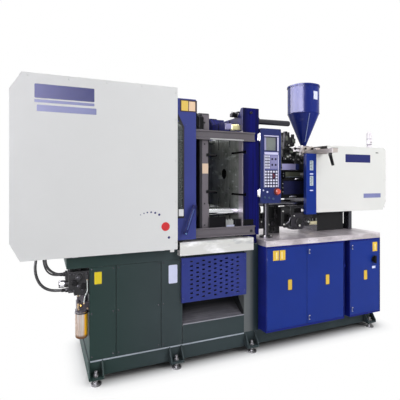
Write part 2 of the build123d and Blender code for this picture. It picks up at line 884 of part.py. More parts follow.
# Ejector plate with its piston rod and four ejector rods
ejector_plate_back = ejector_back + ejector_cylinder_length + slide_gap
with BuildPart() as ejector_plate:
    with BuildSketch(Plane.YZ.offset(ejector_plate_back)):
        with Locations((0, axis_height)):
            RectangleRounded(220, 220, 20)
    extrude(amount=ejector_plate_thickness)
    rod_x((ejector_plate_back - ejector_cylinder_length + 10, ejector_plate_back), 0, axis_height, 30)
    for side in (-1, 1):
        for level in (-1, 1):
            rod_x(
                (ejector_plate_back, moving_face - 7),
                side * ejector_rod_half,
                axis_height + level * ejector_rod_half,
                ejector_rod_diameter,
            )
ejector_plate.part.label = "ejector_plate"
export_step(ejector_plate.part, "parts/ejector_plate.step")

# Clamp cover: a hood folded over the top and the left end, between two side panels
cover_side = (
    (cover_right, cover_top),
    (cover_left_end + cover_top_cut_x, cover_top),
    (cover_left_end, cover_top - cover_top_cut_z),
    (cover_left_end, cover_bottom + cover_low_cut_z),
    (cover_left_end + cover_low_cut_x, cover_bottom),
)
with BuildPart() as cover_hood:
    with BuildSketch(Plane.XZ):
        with BuildLine():
            Polyline(*cover_side, (cover_right, cover_bottom), close=True)
        make_face()
    extrude(amount=cover_half_width - cover_sheet, both=True)
    with BuildSketch(Plane.XZ):
        with BuildLine():
            Polyline(*cover_side, (cover_right, cover_bottom), close=True)
        make_face()
        offset(amount=-cover_sheet, mode=Mode.REPLACE)
    extrude(amount=cover_half_width, both=True, mode=Mode.SUBTRACT)
    # Open toward the mould space and below
    block(
        (cover_right - 10, cover_right + 1),
        (-cover_half_width, cover_half_width),
        (cover_bottom - 1, cover_top - cover_sheet),
        Mode.SUBTRACT,
    )
    block(
        (cover_left_end + cover_low_cut_x + 10, cover_right + 1),
        (-cover_half_width, cover_half_width),
        (cover_bottom - 1, cover_bottom + 10),
        Mode.SUBTRACT,
    )
    # Two angle bearers carry the hood on the ears of the rear platen
    for side in (-1, 1):
        bearer_y = (-platen_half_width, -platen_half_width + 30)
        if side > 0:
            bearer_y = mirrored(bearer_y)
        block(
            (rear_platen_back, cover_right - 40),
            bearer_y,
            (platen_ear_height, cover_top - cover_sheet),
        )
        block(
            (rear_platen_back - 1, cover_right),
            (bearer_y[0] + 4, bearer_y[1] + 1) if side < 0 else (bearer_y[0] - 1, bearer_y[1] - 4),
            (platen_ear_height + 4, cover_top - cover_sheet),
            Mode.SUBTRACT,
        )
cover_hood.part.label = "cover_hood"
export_step(cover_hood.part, "parts/cover_hood.step")


def cover_panel(side):
    """One side panel of the clamp cover, with a bottom flange on four feet. side is -1 in front."""
    with BuildPart() as panel:
        outer = side * cover_half_width
        with BuildSketch(Plane.XZ.offset(-outer)):
            with BuildLine():
                Polyline(*cover_side, (cover_right, cover_bottom), close=True)
            make_face()
        extrude(amount=side * cover_sheet)
        inner_edge = side * (base_half_width - 20)
        flange_y = (min(outer, inner_edge), max(outer, inner_edge))
        block((base_left - 150, cover_right), flange_y, (cover_bottom, cover_bottom + cover_sheet))
        for foot_x in (base_left - 120, base_left + 200, cover_right - 120):
            foot_face = side * (base_half_width - 1)
            block(
                (foot_x, foot_x + 40),
                (min(foot_face, inner_edge), max(foot_face, inner_edge)),
                (bed_top, cover_bottom),
            )
        # Stiffening return beside the mould opening
        return_y = side * (cover_half_width - 16)
        block(
            (cover_right - cover_sheet, cover_right),
            (min(outer, return_y), max(outer, return_y)),
            (cover_bottom, cover_top - cover_sheet),
        )
    return panel.part


cover_front = cover_panel(-1)
cover_front.label = "cover_front"
export_step(cover_front, "parts/cover_front.step")

cover_rear = cover_panel(1)
cover_rear.label = "cover_rear"
export_step(cover_rear, "parts/cover_rear.step")

# Gate rails: four like C rails between the rear platen and the fixed platen
with BuildPart() as gate_rails:
    for side in (-1, 1):
        for level in (top_rail_level, low_rail_level):
            back = side * platen_half_width
            front = side * (platen_half_width + gate_rail_depth)
            lip = side * (platen_half_width + 6)
            with BuildSketch(Plane.YZ.offset(gate_rail_left)):
                with BuildLine():
                    Polyline(
                        (back, level - rail_section / 2),
                        (front, level - rail_section / 2),
                        (front, level - rail_section / 2 + 10),
                        (lip, level - rail_section / 2 + 14),
                        (lip, level + rail_section / 2 - 14),
                        (front, level + rail_section / 2 - 10),
                        (front, level + rail_section / 2),
                        (back, level + rail_section / 2),
                        close=True,
                    )
                make_face()
            extrude(amount=rail_right - gate_rail_left)
gate_rails.part.label = "gate_rails"
export_step(gate_rails.part, "parts/gate_rails.step")


def gate_panel(side, left, window):
    """A sliding gate: a folded pan with guide shoes behind, and a window opening if asked."""
    front = side * gate_front
    back = side * (gate_front - gate_depth)
    right = left + gate_width
    rail_front = side * (platen_half_width + gate_rail_depth)
    shoe_inner = side * (platen_half_width + 4)
    with BuildPart() as gate:
        block((left, right), (min(front, back), max(front, back)), (gate_bottom, gate_top))
        open_face = gate.faces().sort_by(Axis.Y)[-1 if side < 0 else 0]
        offset(amount=-gate_sheet, openings=open_face)
        if window:
            with BuildSketch(Plane.XZ.offset(-front)):
                with BuildLine():
                    Polyline(*window_outline(left, right, 0), close=True)
                make_face()
            extrude(amount=side * gate_sheet * 3, both=True, mode=Mode.SUBTRACT)
        # Hangers over the top rail and guides over the low rail
        for shoe_x in (left + 5, right - 85):
            for level in (top_rail_level, low_rail_level):
                rail_top = level + rail_section / 2
                block(
                    (shoe_x, shoe_x + 48),
                    (min(shoe_inner, front - side * gate_sheet), max(shoe_inner, front - side * gate_sheet)),
                    (rail_top + slide_gap, rail_top + 22),
                )
        block(
            (left + 5, left + 53),
            (min(rail_front + side * slide_gap, front), max(rail_front + side * slide_gap, front)),
            (low_rail_level - 30, low_rail_level + 30),
        )
    return gate.part


def window_outline(left, right, growth):
    """The window's corners, with cut top corners, grown outward by the given overlap."""
    x0 = left + 80 - growth
    x1 = right - gate_stile + growth
    z0 = gate_bottom + gate_low_bar - growth
    z1 = gate_top - gate_top_bar + growth
    return (
        (x0, z0),
        (x1, z0),
        (x1, z1 - window_cut_z),
        (x1 - window_cut_x, z1),
        (x0 + window_cut_x, z1),
        (x0, z1 - window_cut_z),
    )


# Front gate, slid left behind the cover
front_gate = gate_panel(-1, gate_left, True)
front_gate.label = "front_gate"
export_step(front_gate, "parts/front_gate.step")

# Clear window behind the front gate's skin
with BuildPart() as gate_window:
    with BuildSketch(Plane.XZ.offset(gate_front - gate_sheet)):
        with BuildLine():
            Polyline(*window_outline(gate_left, gate_left + gate_width, window_overlap), close=True)
        make_face()
    extrude(amount=-window_thickness)
gate_window.part.label = "gate_window"
export_step(gate_window.part, "parts/gate_window.step")

# Slanted handle on the leading stile of the front gate
handle_low = (gate_left + gate_width - 104, gate_bottom + 56)
handle_high = (gate_left + gate_width - 27, gate_bottom + 270)
handle_middle = ((handle_low[0] + handle_high[0]) / 2, (handle_low[1] + handle_high[1]) / 2)
handle_rise = handle_high[1] - handle_low[1]
handle_run = handle_high[0] - handle_low[0]
handle_reach = math.hypot(handle_run, handle_rise)
handle_angle = math.degrees(math.atan2(handle_rise, handle_run))
with BuildPart() as gate_handle:
    with BuildSketch(Plane.XZ.offset(gate_front + handle_standoff)):
        with Locations(Location((handle_middle[0], handle_middle[1], 0), (0, 0, handle_angle))):
            SlotCenterToCenter(handle_reach, handle_width)
    extrude(amount=-handle_thickness)
    for end in (handle_low, handle_high):
        rod_y(
            end[0],
            (-gate_front - handle_standoff + handle_thickness, -gate_front),
            end[1],
            16,
        )
gate_handle.part.label = "gate_handle"
export_step(gate_handle.part, "parts/gate_handle.step")

# Rear gate, closed over the mould space
rear_gate_left = rail_right - gate_width - 5
rear_gate = gate_panel(1, rear_gate_left, False)
rear_gate.label = "rear_gate"
export_step(rear_gate, "parts/rear_gate.step")

# Guard bar: a round bar with a rounded end, flanged to the back of the fixed platen
with BuildPart() as guard_bar:
    rod_x(
        (fixed_platen_thickness, fixed_platen_thickness + guard_bar_length),
        guard_bar_y,
        guard_bar_z,
        guard_bar_diameter,
    )
    fillet(guard_bar.edges().sort_by(Axis.X)[-1], 12)
    rod_x((fixed_platen_thickness, fixed_platen_thickness + 14), guard_bar_y, guard_bar_z, 84)
guard_bar.part.label = "guard_bar"
export_step(guard_bar.part, "parts/guard_bar.step")

# Injection base cabinet: sheet shell with framed door bays, a recess and a welded oil tank
bay_bottom = cabinet_bottom + door_frame_width
bay_top = cabinet_top - door_frame_width
left_bay = (left_bay_left, left_bay_right)
right_bay = (right_bay_left, right_bay_right)
hinge_radius = door_thickness / 2
hinge_y = -cabinet_half_width + hinge_radius
left_hinge_x = left_bay[0] + door_gap + hinge_radius
middle_hinge_x = left_bay[1] - door_gap - hinge_radius
right_hinge_x = right_bay[1] - door_gap - hinge_radius
with BuildPart() as injection_cabinet:
    block(
        (cabinet_left, cabinet_right),
        (-cabinet_half_width, cabinet_half_width),
        (cabinet_bottom, cabinet_top),
    )
    block(
        (cabinet_left + cabinet_sheet, cabinet_right - cabinet_sheet),
        (-cabinet_half_width + door_frame_depth, cabinet_half_width - cabinet_sheet),
        (cabinet_bottom + cabinet_sheet, cabinet_top - cabinet_sheet),
        Mode.SUBTRACT,
    )
    for bay in (left_bay, right_bay):
        block(
            bay,
            (-cabinet_half_width - 1, -cabinet_half_width + door_frame_depth + 1),
            (bay_bottom, bay_top),
            Mode.SUBTRACT,
        )
    # Recess between the bays, closed behind by a channel
    recess = (left_bay_right + 4, right_bay_left - 4)
    block(
        (recess[0] - 2, recess[1] + 2),
        (-cabinet_half_width, -cabinet_half_width + recess_depth + 3),
        (cabinet_bottom, cabinet_top),
    )
    block(
        recess,
        (-cabinet_half_width - 1, -cabinet_half_width + recess_depth),
        (cabinet_bottom - 1, cabinet_top - cabinet_sheet),
        Mode.SUBTRACT,
    )
    rod_y(
        (recess[0] + recess[1]) / 2,
        (-cabinet_half_width + recess_depth - 30, -cabinet_half_width + recess_depth),
        cabinet_top - 249,
        28,
    )
    # Base ring that stands on the frame
    block(
        (cabinet_left, cabinet_right),
        (-base_half_width, base_half_width),
        (frame_top, cabinet_bottom),
    )
    block(
        (cabinet_left + 60, cabinet_right - 60),
        (-base_half_width + 60, base_half_width - 60),
        (frame_top - 1, cabinet_bottom),
        Mode.SUBTRACT,
    )
    # Oil tank along the rear wall
    block(
        (left_bay_right - 387, left_bay_right - 17),
        (120, cabinet_half_width - cabinet_sheet),
        (cabinet_bottom + cabinet_sheet, cabinet_bottom + 420),
    )
    for hinge_x in (left_hinge_x, middle_hinge_x, right_hinge_x):
        pin_above = (bay_top - 1, bay_top + door_pin_length + 1)
        pin_below = (bay_bottom - door_pin_length - 1, bay_bottom + 1)
        for pin_z in (pin_above, pin_below):
            rod_z(hinge_x, hinge_y, pin_z, door_pin_diameter + 2 * shaft_gap, Mode.SUBTRACT)
    # Cooling slots in the rear wall
    with BuildSketch(Plane.XZ.offset(-cabinet_half_width - 1)):
        with Locations(((cabinet_left + cabinet_right) / 2, cabinet_top - 181)):
            with GridLocations(0, 26, 1, 6):
                SlotOverall(420, 10)
    extrude(amount=cabinet_sheet + 2, mode=Mode.SUBTRACT)
injection_cabinet.part.label = "injection_cabinet"
export_step(injection_cabinet.part, "parts/injection_cabinet.step")


def cabinet_door(hinge_x, free_x, latched):
    """A pan door that turns on two pins in the cabinet's frame. free_x is its free edge."""
    toward = 1 if free_x > hinge_x else -1
    low = bay_bottom + door_gap
    high = bay_top - door_gap
    with BuildPart() as door:
        with BuildSketch(Plane.XY.offset(low)):
            with Locations(((hinge_x + free_x) / 2, hinge_y)):
                Rectangle(abs(free_x - hinge_x), door_thickness)
            with Locations((hinge_x, hinge_y)):
                Circle(hinge_radius)
        extrude(amount=high - low)
        pocket = sorted((hinge_x + toward * 24, free_x - toward * 18))
        block(
            pocket,
            (hinge_y - hinge_radius + 3, hinge_y + hinge_radius + 1),
            (low + 18, high - 18),
            Mode.SUBTRACT,
        )
        rod_z(hinge_x, hinge_y, (high, high + door_pin_length), door_pin_diameter)
        rod_z(hinge_x, hinge_y, (low - door_pin_length, low), door_pin_diameter)
        if latched:
            for latch_z in (low + latch_from_end, high - latch_from_end):
                latch_x = free_x - toward * latch_inset
                rod_y(latch_x, (-cabinet_half_width - 5, -cabinet_half_width + 2), latch_z, latch_diameter)
                block(
                    (latch_x - 4, latch_x + 4),
                    (-cabinet_half_width - 14, -cabinet_half_width),
                    (latch_z - 12, latch_z + 12),
                )
    return door


# Cabinet doors with their quarter-turn latches
cabinet_door_left = cabinet_door(left_hinge_x, door_seam - door_gap, False)
cabinet_door_left.part.label = "cabinet_door_left"
export_step(cabinet_door_left.part, "parts/cabinet_door_left.step")

cabinet_door_middle = cabinet_door(middle_hinge_x, door_seam + door_gap, True)
cabinet_door_middle.part.label = "cabinet_door_middle"
export_step(cabinet_door_middle.part, "parts/cabinet_door_middle.step")

cabinet_door_right = cabinet_door(right_hinge_x, right_bay[0] + door_gap, True)
switch_shaft = 16.0
with BuildPart() as cabinet_door_right_bored:
    add(cabinet_door_right.part)
    rod_y(
        switch_x,
        (-cabinet_half_width - 1, -cabinet_half_width + door_thickness + 1),
        switch_z,
        switch_shaft + 2 * slide_gap,
        Mode.SUBTRACT,
    )
cabinet_door_right_bored.part.label = "cabinet_door_right"
export_step(cabinet_door_right_bored.part, "parts/cabinet_door_right.step")

# Main switch: rotary handle with a shaft through the right door
with BuildPart() as main_switch:
    rod_y(
        switch_x,
        (-cabinet_half_width - 12 - slide_gap, -cabinet_half_width - slide_gap),
        switch_z,
        54,
    )
    rod_y(
        switch_x,
        (-cabinet_half_width - slide_gap, -cabinet_half_width + door_thickness + 20),
        switch_z,
        switch_shaft,
    )
    with BuildSketch(Plane.XZ.offset(cabinet_half_width + 12 + slide_gap)):
        with Locations((switch_x, switch_z)):
            SlotOverall(76, 18, rotation=90)
    extrude(amount=20)
main_switch.part.label = "main_switch"
export_step(main_switch.part, "parts/main_switch.step")

# Pump and motor on the cabinet floor
pump_axis_z = cabinet_bottom + cabinet_sheet + 170
motor_left = cabinet_left + 75
motor_right = motor_left + 330
pump_right = motor_right + 200
with BuildPart() as pump_motor:
    with BuildSketch(Plane.XZ):
        with BuildLine():
            Polyline(
                (motor_left, pump_axis_z),
                (motor_left, pump_axis_z + 118),
                (motor_right, pump_axis_z + 118),
                (motor_right, pump_axis_z + 130),
                (motor_right + 16, pump_axis_z + 130),
                (motor_right + 16, pump_axis_z + 84),
                (pump_right - 110, pump_axis_z + 64),
                (pump_right - 110, pump_axis_z + 78),
                (pump_right, pump_axis_z + 78),
                (pump_right, pump_axis_z),
                close=True,
            )
        make_face()
    revolve(axis=Axis((0, 0, pump_axis_z), (1, 0, 0)))
    for foot_x in (motor_left + 50, motor_right - 60):
        block(
            (foot_x - 20, foot_x + 20),
            (-110, 110),
            (cabinet_bottom + cabinet_sheet, pump_axis_z - 60),
        )
    block((motor_left + 100, motor_left + 210), (-170, -60), (pump_axis_z + 20, pump_axis_z + 110))
pump_motor.part.label = "pump_motor"
export_step(pump_motor.part, "parts/pump_motor.step")

# Electrical back plate with its rows of devices, behind the right door
plate_left = right_bay_left + 24
plate_right = right_bay_right - 17
plate_top = cabinet_top - 60
device_width = 62.0
device_height = 84.0
device_row_pitch = 150.0
device_pitch = (plate_right - plate_left - device_width - 48) / 3
with BuildPart() as control_plate:
    block((plate_left, plate_right), (-120, -116), (cabinet_bottom + cabinet_sheet, plate_top))
    for row in range(4):
        row_z = plate_top - 17 - device_height - row * device_row_pitch
        for column in range(4):
            device_x = plate_left + 20 + column * device_pitch
            device_y = (-190 + 12 * (column % 2), -120)
            block((device_x, device_x + device_width), device_y, (row_z, row_z + device_height))
control_plate.part.label = "control_plate"
export_step(control_plate.part, "parts/control_plate.step")

# Worktop: stainless pan turned down over the cabinet
worktop_half_width = cabinet_half_width + worktop_overhang
with BuildPart() as worktop:
    block(
        (cabinet_left, worktop_right),
        (-worktop_half_width, worktop_half_width),
        (cabinet_top, worktop_top),
    )
    fillet(worktop.edges().filter_by(Axis.Z).group_by(Axis.X)[-1], 20)
    under_face = worktop.faces().sort_by(Axis.Z)[0]
    offset(amount=-worktop_sheet, openings=under_face)
worktop.part.label = "worktop"
export_step(worktop.part, "parts/worktop.step")

# Guide rods with the support at their rear end
with BuildPart() as guide_rods:
    for side in (-1, 1):
        rod_x(
            (fixed_platen_thickness, guide_rod_end),
            side * guide_rod_half,
            guide_rod_level,
            guide_rod_diameter,
        )
    with BuildSketch(Plane.YZ.offset(guide_rod_end - rear_support_thickness)):
        with Locations((0, (worktop_top + guide_rod_level + 36) / 2)):
            Rectangle(2 * guide_rod_half + 70, guide_rod_level + 36 - worktop_top)
        with Locations((0, (worktop_top + guide_rod_level + 60) / 2)):
            Rectangle(2 * guide_rod_half - 80, guide_rod_level - worktop_top - 40, mode=Mode.SUBTRACT)
        with Locations((0, guide_rod_level + 30)):
            Rectangle(2 * guide_rod_half - 80, 80, mode=Mode.SUBTRACT)
    extrude(amount=rear_support_thickness)
guide_rods.part.label = "guide_rods"
export_step(guide_rods.part, "parts/guide_rods.step")

# Carriage: casting with the feed housing, running on the guide rods
with BuildPart() as injection_carriage:
    with BuildSketch(Plane.YZ.offset(housing_left)):
        with BuildLine():
            Polyline(
                (-saddle_half_width, saddle_top - 70),
                (saddle_half_width, saddle_top - 70),
                (saddle_half_width, guide_rod_level - 50),
                (guide_rod_half + 35, guide_rod_level - 50),
                (guide_rod_half + 35, guide_rod_level + 50),
                (130, guide_rod_level + 130),
                (130, axis_height + 100),
                (85, housing_top),
                (-85, housing_top),
                (-130, axis_height + 100),
                (-130, guide_rod_level + 130),
                (-guide_rod_half - 35, guide_rod_level + 50),
                (-guide_rod_half - 35, guide_rod_level - 50),
                (-saddle_half_width, guide_rod_level - 50),
                close=True,
            )
        make_face()
    extrude(amount=housing_length)
    with BuildSketch(Plane.XZ):
        with BuildLine():
            Polyline(
                (saddle_left, worktop_top + slide_gap),
                (saddle_right, worktop_top + slide_gap),
                (saddle_right, saddle_top),
                (housing_left + 20, saddle_top),
                (housing_left + 20, saddle_top - 70),
                (saddle_left, saddle_top - 70),
                close=True,
            )
        make_face()
    extrude(amount=saddle_half_width, both=True)
    # Ribs from the saddle to the feed housing
    for side in (-1, 1):
        with BuildSketch(Plane.XZ.offset(side * 100)):
            with BuildLine():
                Polyline(
                    (housing_right - 5, saddle_top - 5),
                    (housing_right + 190, saddle_top - 5),
                    (housing_right - 5, axis_height - 70),
                    close=True,
                )
            make_face()
        extrude(amount=12, both=True)
    # Side pads that carry the cover
    for side in (-1, 1):
        inner = side * (guide_rod_half + 30)
        outer = side * (injection_cover_half - 3)
        block(
            (cover_left + 10, housing_right - 10),
            (min(inner, outer), max(inner, outer)),
            (guide_rod_level - 30, guide_rod_level + 30),
        )
    for side in (-1, 1):
        rod_x(
            (housing_left - 1, housing_right + 1),
            side * guide_rod_half,
            guide_rod_level,
            guide_rod_diameter + 2 * slide_gap,
            Mode.SUBTRACT,
        )
    rod_x(
        (housing_left - 1, housing_right + 1),
        0,
        axis_height,
        barrel_diameter + 2 * shaft_gap,
        Mode.SUBTRACT,
    )
    rod_z(hopper_x, 0, (axis_height, housing_top + 1), throat_diameter, Mode.SUBTRACT)
injection_carriage.part.label = "injection_carriage"
export_step(injection_carriage.part, "parts/injection_carriage.step")

# Barrel with a feed port, its flange against the feed housing
barrel_right = housing_right + 24
with BuildPart() as barrel:
    rod_x((barrel_left, barrel_right), 0, axis_height, barrel_diameter)
    rod_x((housing_left - 30, housing_left), 0, axis_height, barrel_flange)
    rod_x((barrel_left - 1, barrel_right + 1), 0, axis_height, barrel_bore + 2 * slide_gap, Mode.SUBTRACT)
    rod_z(hopper_x, 0, (axis_height, axis_height + barrel_diameter), throat_diameter - 10, Mode.SUBTRACT)
barrel.part.label = "barrel"
export_step(barrel.part, "parts/barrel.step")

# Heater bands clamped round the barrel
with BuildPart() as heater_bands:
    for number in range(heater_count):
        band_left = heater_left + number * heater_pitch
        rod_x((band_left, band_left + heater_width), 0, axis_height, heater_diameter)
        block(
            (band_left + 12, band_left + heater_width - 12),
            (-12, 12),
            (axis_height - heater_diameter / 2 - 20, axis_height - barrel_diameter / 2 - 2),
        )
        rod_x(
            (band_left - 1, band_left + heater_width + 1),
            0,
            axis_height,
            barrel_diameter + 2 * shaft_gap,
            Mode.SUBTRACT,
        )
heater_bands.part.label = "heater_bands"
export_step(heater_bands.part, "parts/heater_bands.step")

# Nozzle: hexagon, cone and tip, screwed to the barrel
with BuildPart() as nozzle:
    with BuildSketch(Plane.XZ):
        with BuildLine():
            Polyline(
                (barrel_left, axis_height),
                (barrel_left, axis_height + nozzle_diameter / 2),
                (barrel_left - 40, axis_height + nozzle_diameter / 2),
                (barrel_left - 44, axis_height + 20),
                (barrel_left - nozzle_length + 12, axis_height + 20),
                (barrel_left - nozzle_length, axis_height + 8),
                (barrel_left - nozzle_length, axis_height),
                close=True,
            )
        make_face()
    revolve(axis=Axis((0, 0, axis_height), (1, 0, 0)))
    with BuildSketch(Plane.YZ.offset(barrel_left)):
        with Locations((0, axis_height)):
            RegularPolygon(radius=nozzle_diameter / 2 + 8, side_count=6)
    extrude(amount=-22)
    rod_x((barrel_left - nozzle_length - 1, barrel_left + 1), 0, axis_height, 6, Mode.SUBTRACT)
nozzle.part.label = "nozzle"
export_step(nozzle.part, "parts/nozzle.step")

# Screw: turned core with a conical tip
screw_tip = barrel_left + 130
screw_end = drive_left + 40
screw_shoulder = housing_right - 40
with BuildPart() as screw:
    with BuildSketch(Plane.XZ):
        with BuildLine():
            Polyline(
                (screw_tip, axis_height),
                (screw_tip + 30, axis_height + 14),
                (screw_shoulder, axis_height + 16),
                (screw_shoulder, axis_height + barrel_bore / 2),
                (screw_end, axis_height + barrel_bore / 2),
                (screw_end, axis_height),
                close=True,
            )
        make_face()
    revolve(axis=Axis((0, 0, axis_height), (1, 0, 0)))
screw.part.label = "screw"
export_step(screw.part, "parts/screw.step")

# Injection cylinders behind the feed housing
with BuildPart() as injection_cylinders:
    for side in (-1, 1):
        cylinder_y = side * injection_cylinder_half
        rod_x(
            (housing_right, housing_right + injection_cylinder_length),
            cylinder_y,
            axis_height,
            injection_cylinder_diameter,
        )
        block(
            (housing_right, housing_right + 26),
            (cylinder_y - 60, cylinder_y + 60),
            (axis_height - 60, axis_height + 60),
        )
        rod_x(
            (housing_right + 10, housing_right + injection_cylinder_length + 1),
            cylinder_y,
            axis_height,
            injection_rod_diameter + 2 * slide_gap,
            Mode.SUBTRACT,
        )
injection_cylinders.part.label = "injection_cylinders"
export_step(injection_cylinders.part, "parts/injection_cylinders.step")

# Screw drive: thrust plate with two piston rods and the hydraulic motor
rod_reach = housing_right + injection_cylinder_length - 80
with BuildPart() as screw_drive:
    with BuildSketch(Plane.YZ.offset(drive_left)):
        with Locations((0, axis_height)):
            RectangleRounded(2 * injection_cylinder_half + 90, 190, 30)
    extrude(amount=drive_plate)
    for side in (-1, 1):
        rod_x((rod_reach, drive_left), side * injection_cylinder_half, axis_height, injection_rod_diameter)
    rod_x((drive_left, drive_left + drive_plate + 50), 0, axis_height, motor_diameter - 40)
    rod_x(
        (drive_left + drive_plate + 50, drive_left + drive_plate + motor_length),
        0,
        axis_height,
        motor_diameter,
    )
    block(
        (drive_left + drive_plate + 90, drive_left + drive_plate + 170),
        (-40, 40),
        (axis_height + 80, axis_height + 150),
    )
    rod_x((drive_left - 1, screw_end + 5), 0, axis_height, barrel_bore + 2 * slide_gap, Mode.SUBTRACT)
screw_drive.part.label = "screw_drive"
export_step(screw_drive.part, "parts/screw_drive.step")

# Valve manifold on a bracket from the feed housing
with BuildPart() as valve_manifold:
    block(
        (manifold_left + 5, housing_left),
        (-manifold_half_width, manifold_half_width),
        (manifold_base - 24, manifold_base),
    )
    for side in (-1, 1):
        skirt = (-manifold_half_width, -manifold_half_width + 8)
        if side > 0:
            skirt = mirrored(skirt)
        block((manifold_left + 5, housing_left), skirt, (manifold_base - 60, manifold_base - 24))
    block((manifold_left + 8, manifold_left + 150), (-55, 55), (manifold_base, manifold_base + 146))
    block((manifold_left + 8, manifold_left + 130), (-55, 55), (manifold_base + 146, manifold_base + 170))
    block((manifold_left + 20, manifold_left + 80), (-45, 45), (manifold_base + 170, manifold_base + 290))
    rod_y(manifold_left + 50, (-85, 85), manifold_base + 250, 52)
    rod_y(manifold_left + 50, (-95, 95), manifold_base + 196, 44)
    rod_x((manifold_left + 80, manifold_left + 126), 0, manifold_base + 205, 56)
    rod_z(manifold_left + 112, -20, (manifold_base + 150, manifold_base + 330), 34)
    rod_z(manifold_left + 34, 10, (manifold_base + 280, manifold_base + 322), 30)
    rod_y(manifold_left + 120, (-90, -55), manifold_base + 60, 40)
    rod_y(manifold_left + 50, (-90, -55), manifold_base + 90, 48)
valve_manifold.part.label = "valve_manifold"
export_step(valve_manifold.part, "parts/valve_manifold.step")

# Guard post: folded channel on the leading edge of the injection cover
with BuildPart() as guard_post:
    block(
        (cover_left - post_width, cover_left),
        (-injection_cover_half - 5, -injection_cover_half - 5 + post_depth),
        (post_bottom, post_top),
    )
    block(
        (cover_left - post_width + 3, cover_left - 3),
        (-injection_cover_half - 2, -injection_cover_half + post_depth),
        (post_bottom + 3, post_top - 3),
        Mode.SUBTRACT,
    )
guard_post.part.label = "guard_post"
export_step(guard_post.part, "parts/guard_post.step")

# Injection cover: sheet housing with a notch for the hopper slide
notch_right = hopper_x + slide_block_width / 2 + 12
notch_bottom = slide_rail_bottom - cover_gap
with BuildPart() as injection_cover:
    with BuildSketch(Plane.XZ):
        with BuildLine():
            Polyline(
                (cover_left, injection_cover_bottom),
                (cover_end - injection_cover_cut_x, injection_cover_bottom),
                (cover_end, injection_cover_bottom + injection_cover_cut_z),
                (cover_end, injection_cover_top),
                (cover_left, injection_cover_top),
                close=True,
            )
        make_face()
    extrude(amount=injection_cover_half, both=True)
    top_corner = injection_cover.edges().filter_by(Axis.Y).sort_by(Axis.X)[-2:].sort_by(Axis.Z)[-1]
    fillet(top_corner, injection_cover_radius)
    end_face = injection_cover.faces().filter_by(Axis.X).sort_by(Axis.X)[0]
    low_face = injection_cover.faces().filter_by(Axis.Z).sort_by(Axis.Z)[0]
    offset(amount=-3, openings=[end_face, low_face])
    block(
        (cover_left - 1, notch_right),
        (-injection_cover_half - 1, slide_rail_back + 20),
        (notch_bottom, injection_cover_top + 1),
        Mode.SUBTRACT,
    )
injection_cover.part.label = "injection_cover"
export_step(injection_cover.part, "parts/injection_cover.step")

# Beacon lamp on the cover
beacon_x = 1677.0
beacon_y = -200.0
with BuildPart() as beacon_lamp:
    with BuildSketch(Plane.XZ.offset(-beacon_y)):
        with BuildLine():
            Polyline(
                (beacon_x, injection_cover_top),
                (beacon_x + 30, injection_cover_top),
                (beacon_x + 30, injection_cover_top + 12),
                (beacon_x + 20, injection_cover_top + 30),
                (beacon_x + 26, injection_cover_top + 34),
                (beacon_x + 26, injection_cover_top + 160),
                (beacon_x + 14, injection_cover_top + 176),
                (beacon_x, injection_cover_top + 176),
                close=True,
            )
        make_face()
    revolve(axis=Axis((beacon_x, beacon_y, 0), (0, 0, 1)))
beacon_lamp.part.label = "beacon_lamp"
export_step(beacon_lamp.part, "parts/beacon_lamp.step")

# Hopper slide rail across the feed housing, toward the operator
with BuildPart() as hopper_slide_rail:
    block(
        (hopper_x - slide_rail_width / 2, hopper_x + slide_rail_width / 2),
        (-slide_rail_front, slide_rail_back),
        (slide_rail_bottom, slide_rail_top),
    )
    fillet(hopper_slide_rail.edges().filter_by(Axis.Z).group_by(Axis.Y)[0], 12)
    block(
        (housing_left + 4, housing_right - 4),
        (-80, 80),
        (housing_top, slide_rail_bottom),
    )
    block(
        (hopper_x - throat_diameter / 2, hopper_x + throat_diameter / 2),
        (-throat_diameter / 2, throat_diameter / 2),
        (housing_top - 1, slide_rail_top + 1),
        Mode.SUBTRACT,
    )
hopper_slide_rail.part.label = "hopper_slide_rail"
export_step(hopper_slide_rail.part, "parts/hopper_slide_rail.step")

# Slide block: straddles the rail and carries the hopper
block_bottom = slide_rail_top + slide_gap - slide_block_wrap
shutter_level = hopper_bottom - 22
with BuildPart() as hopper_slide_block:
    block(
        (hopper_x - slide_block_width / 2, hopper_x + slide_block_width / 2),
        (-75, 75),
        (block_bottom, hopper_bottom),
    )
    block(
        (hopper_x - slide_rail_width / 2 - slide_gap, hopper_x + slide_rail_width / 2 + slide_gap),
        (-76, 76),
        (block_bottom - 1, slide_rail_top + slide_gap),
        Mode.SUBTRACT,
    )
    rod_z(hopper_x, 0, (slide_rail_top, hopper_bottom + 1), throat_diameter, Mode.SUBTRACT)
    block(
        (hopper_x - slide_block_width / 2 - 1, hopper_x + slide_block_width / 2 - 24),
        (-shutter_width / 2 - slide_gap, shutter_width / 2 + slide_gap),
        (
            shutter_level - shutter_thickness / 2 - slide_gap,
            shutter_level + shutter_thickness / 2 + slide_gap,
        ),
        Mode.SUBTRACT,
    )
hopper_slide_block.part.label = "hopper_slide_block"
export_step(hopper_slide_block.part, "parts/hopper_slide_block.step")

# Hopper shutter: plate across the throat, with a round knob
with BuildPart() as hopper_shutter:
    block(
        (hopper_x - slide_block_width / 2 - 6, hopper_x + slide_block_width / 2 - 30),
        (-shutter_width / 2, shutter_width / 2),
        (shutter_level - shutter_thickness / 2, shutter_level + shutter_thickness / 2),
    )
    rod_x(
        (hopper_x - slide_block_width / 2 - 22, hopper_x - slide_block_width / 2 - 5),
        0,
        shutter_level,
        12,
    )
    with Locations((hopper_x - slide_block_width / 2 - 30, 0, shutter_level)):
        Sphere(14)
hopper_shutter.part.label = "hopper_shutter"
export_step(hopper_shutter.part, "parts/hopper_shutter.step")

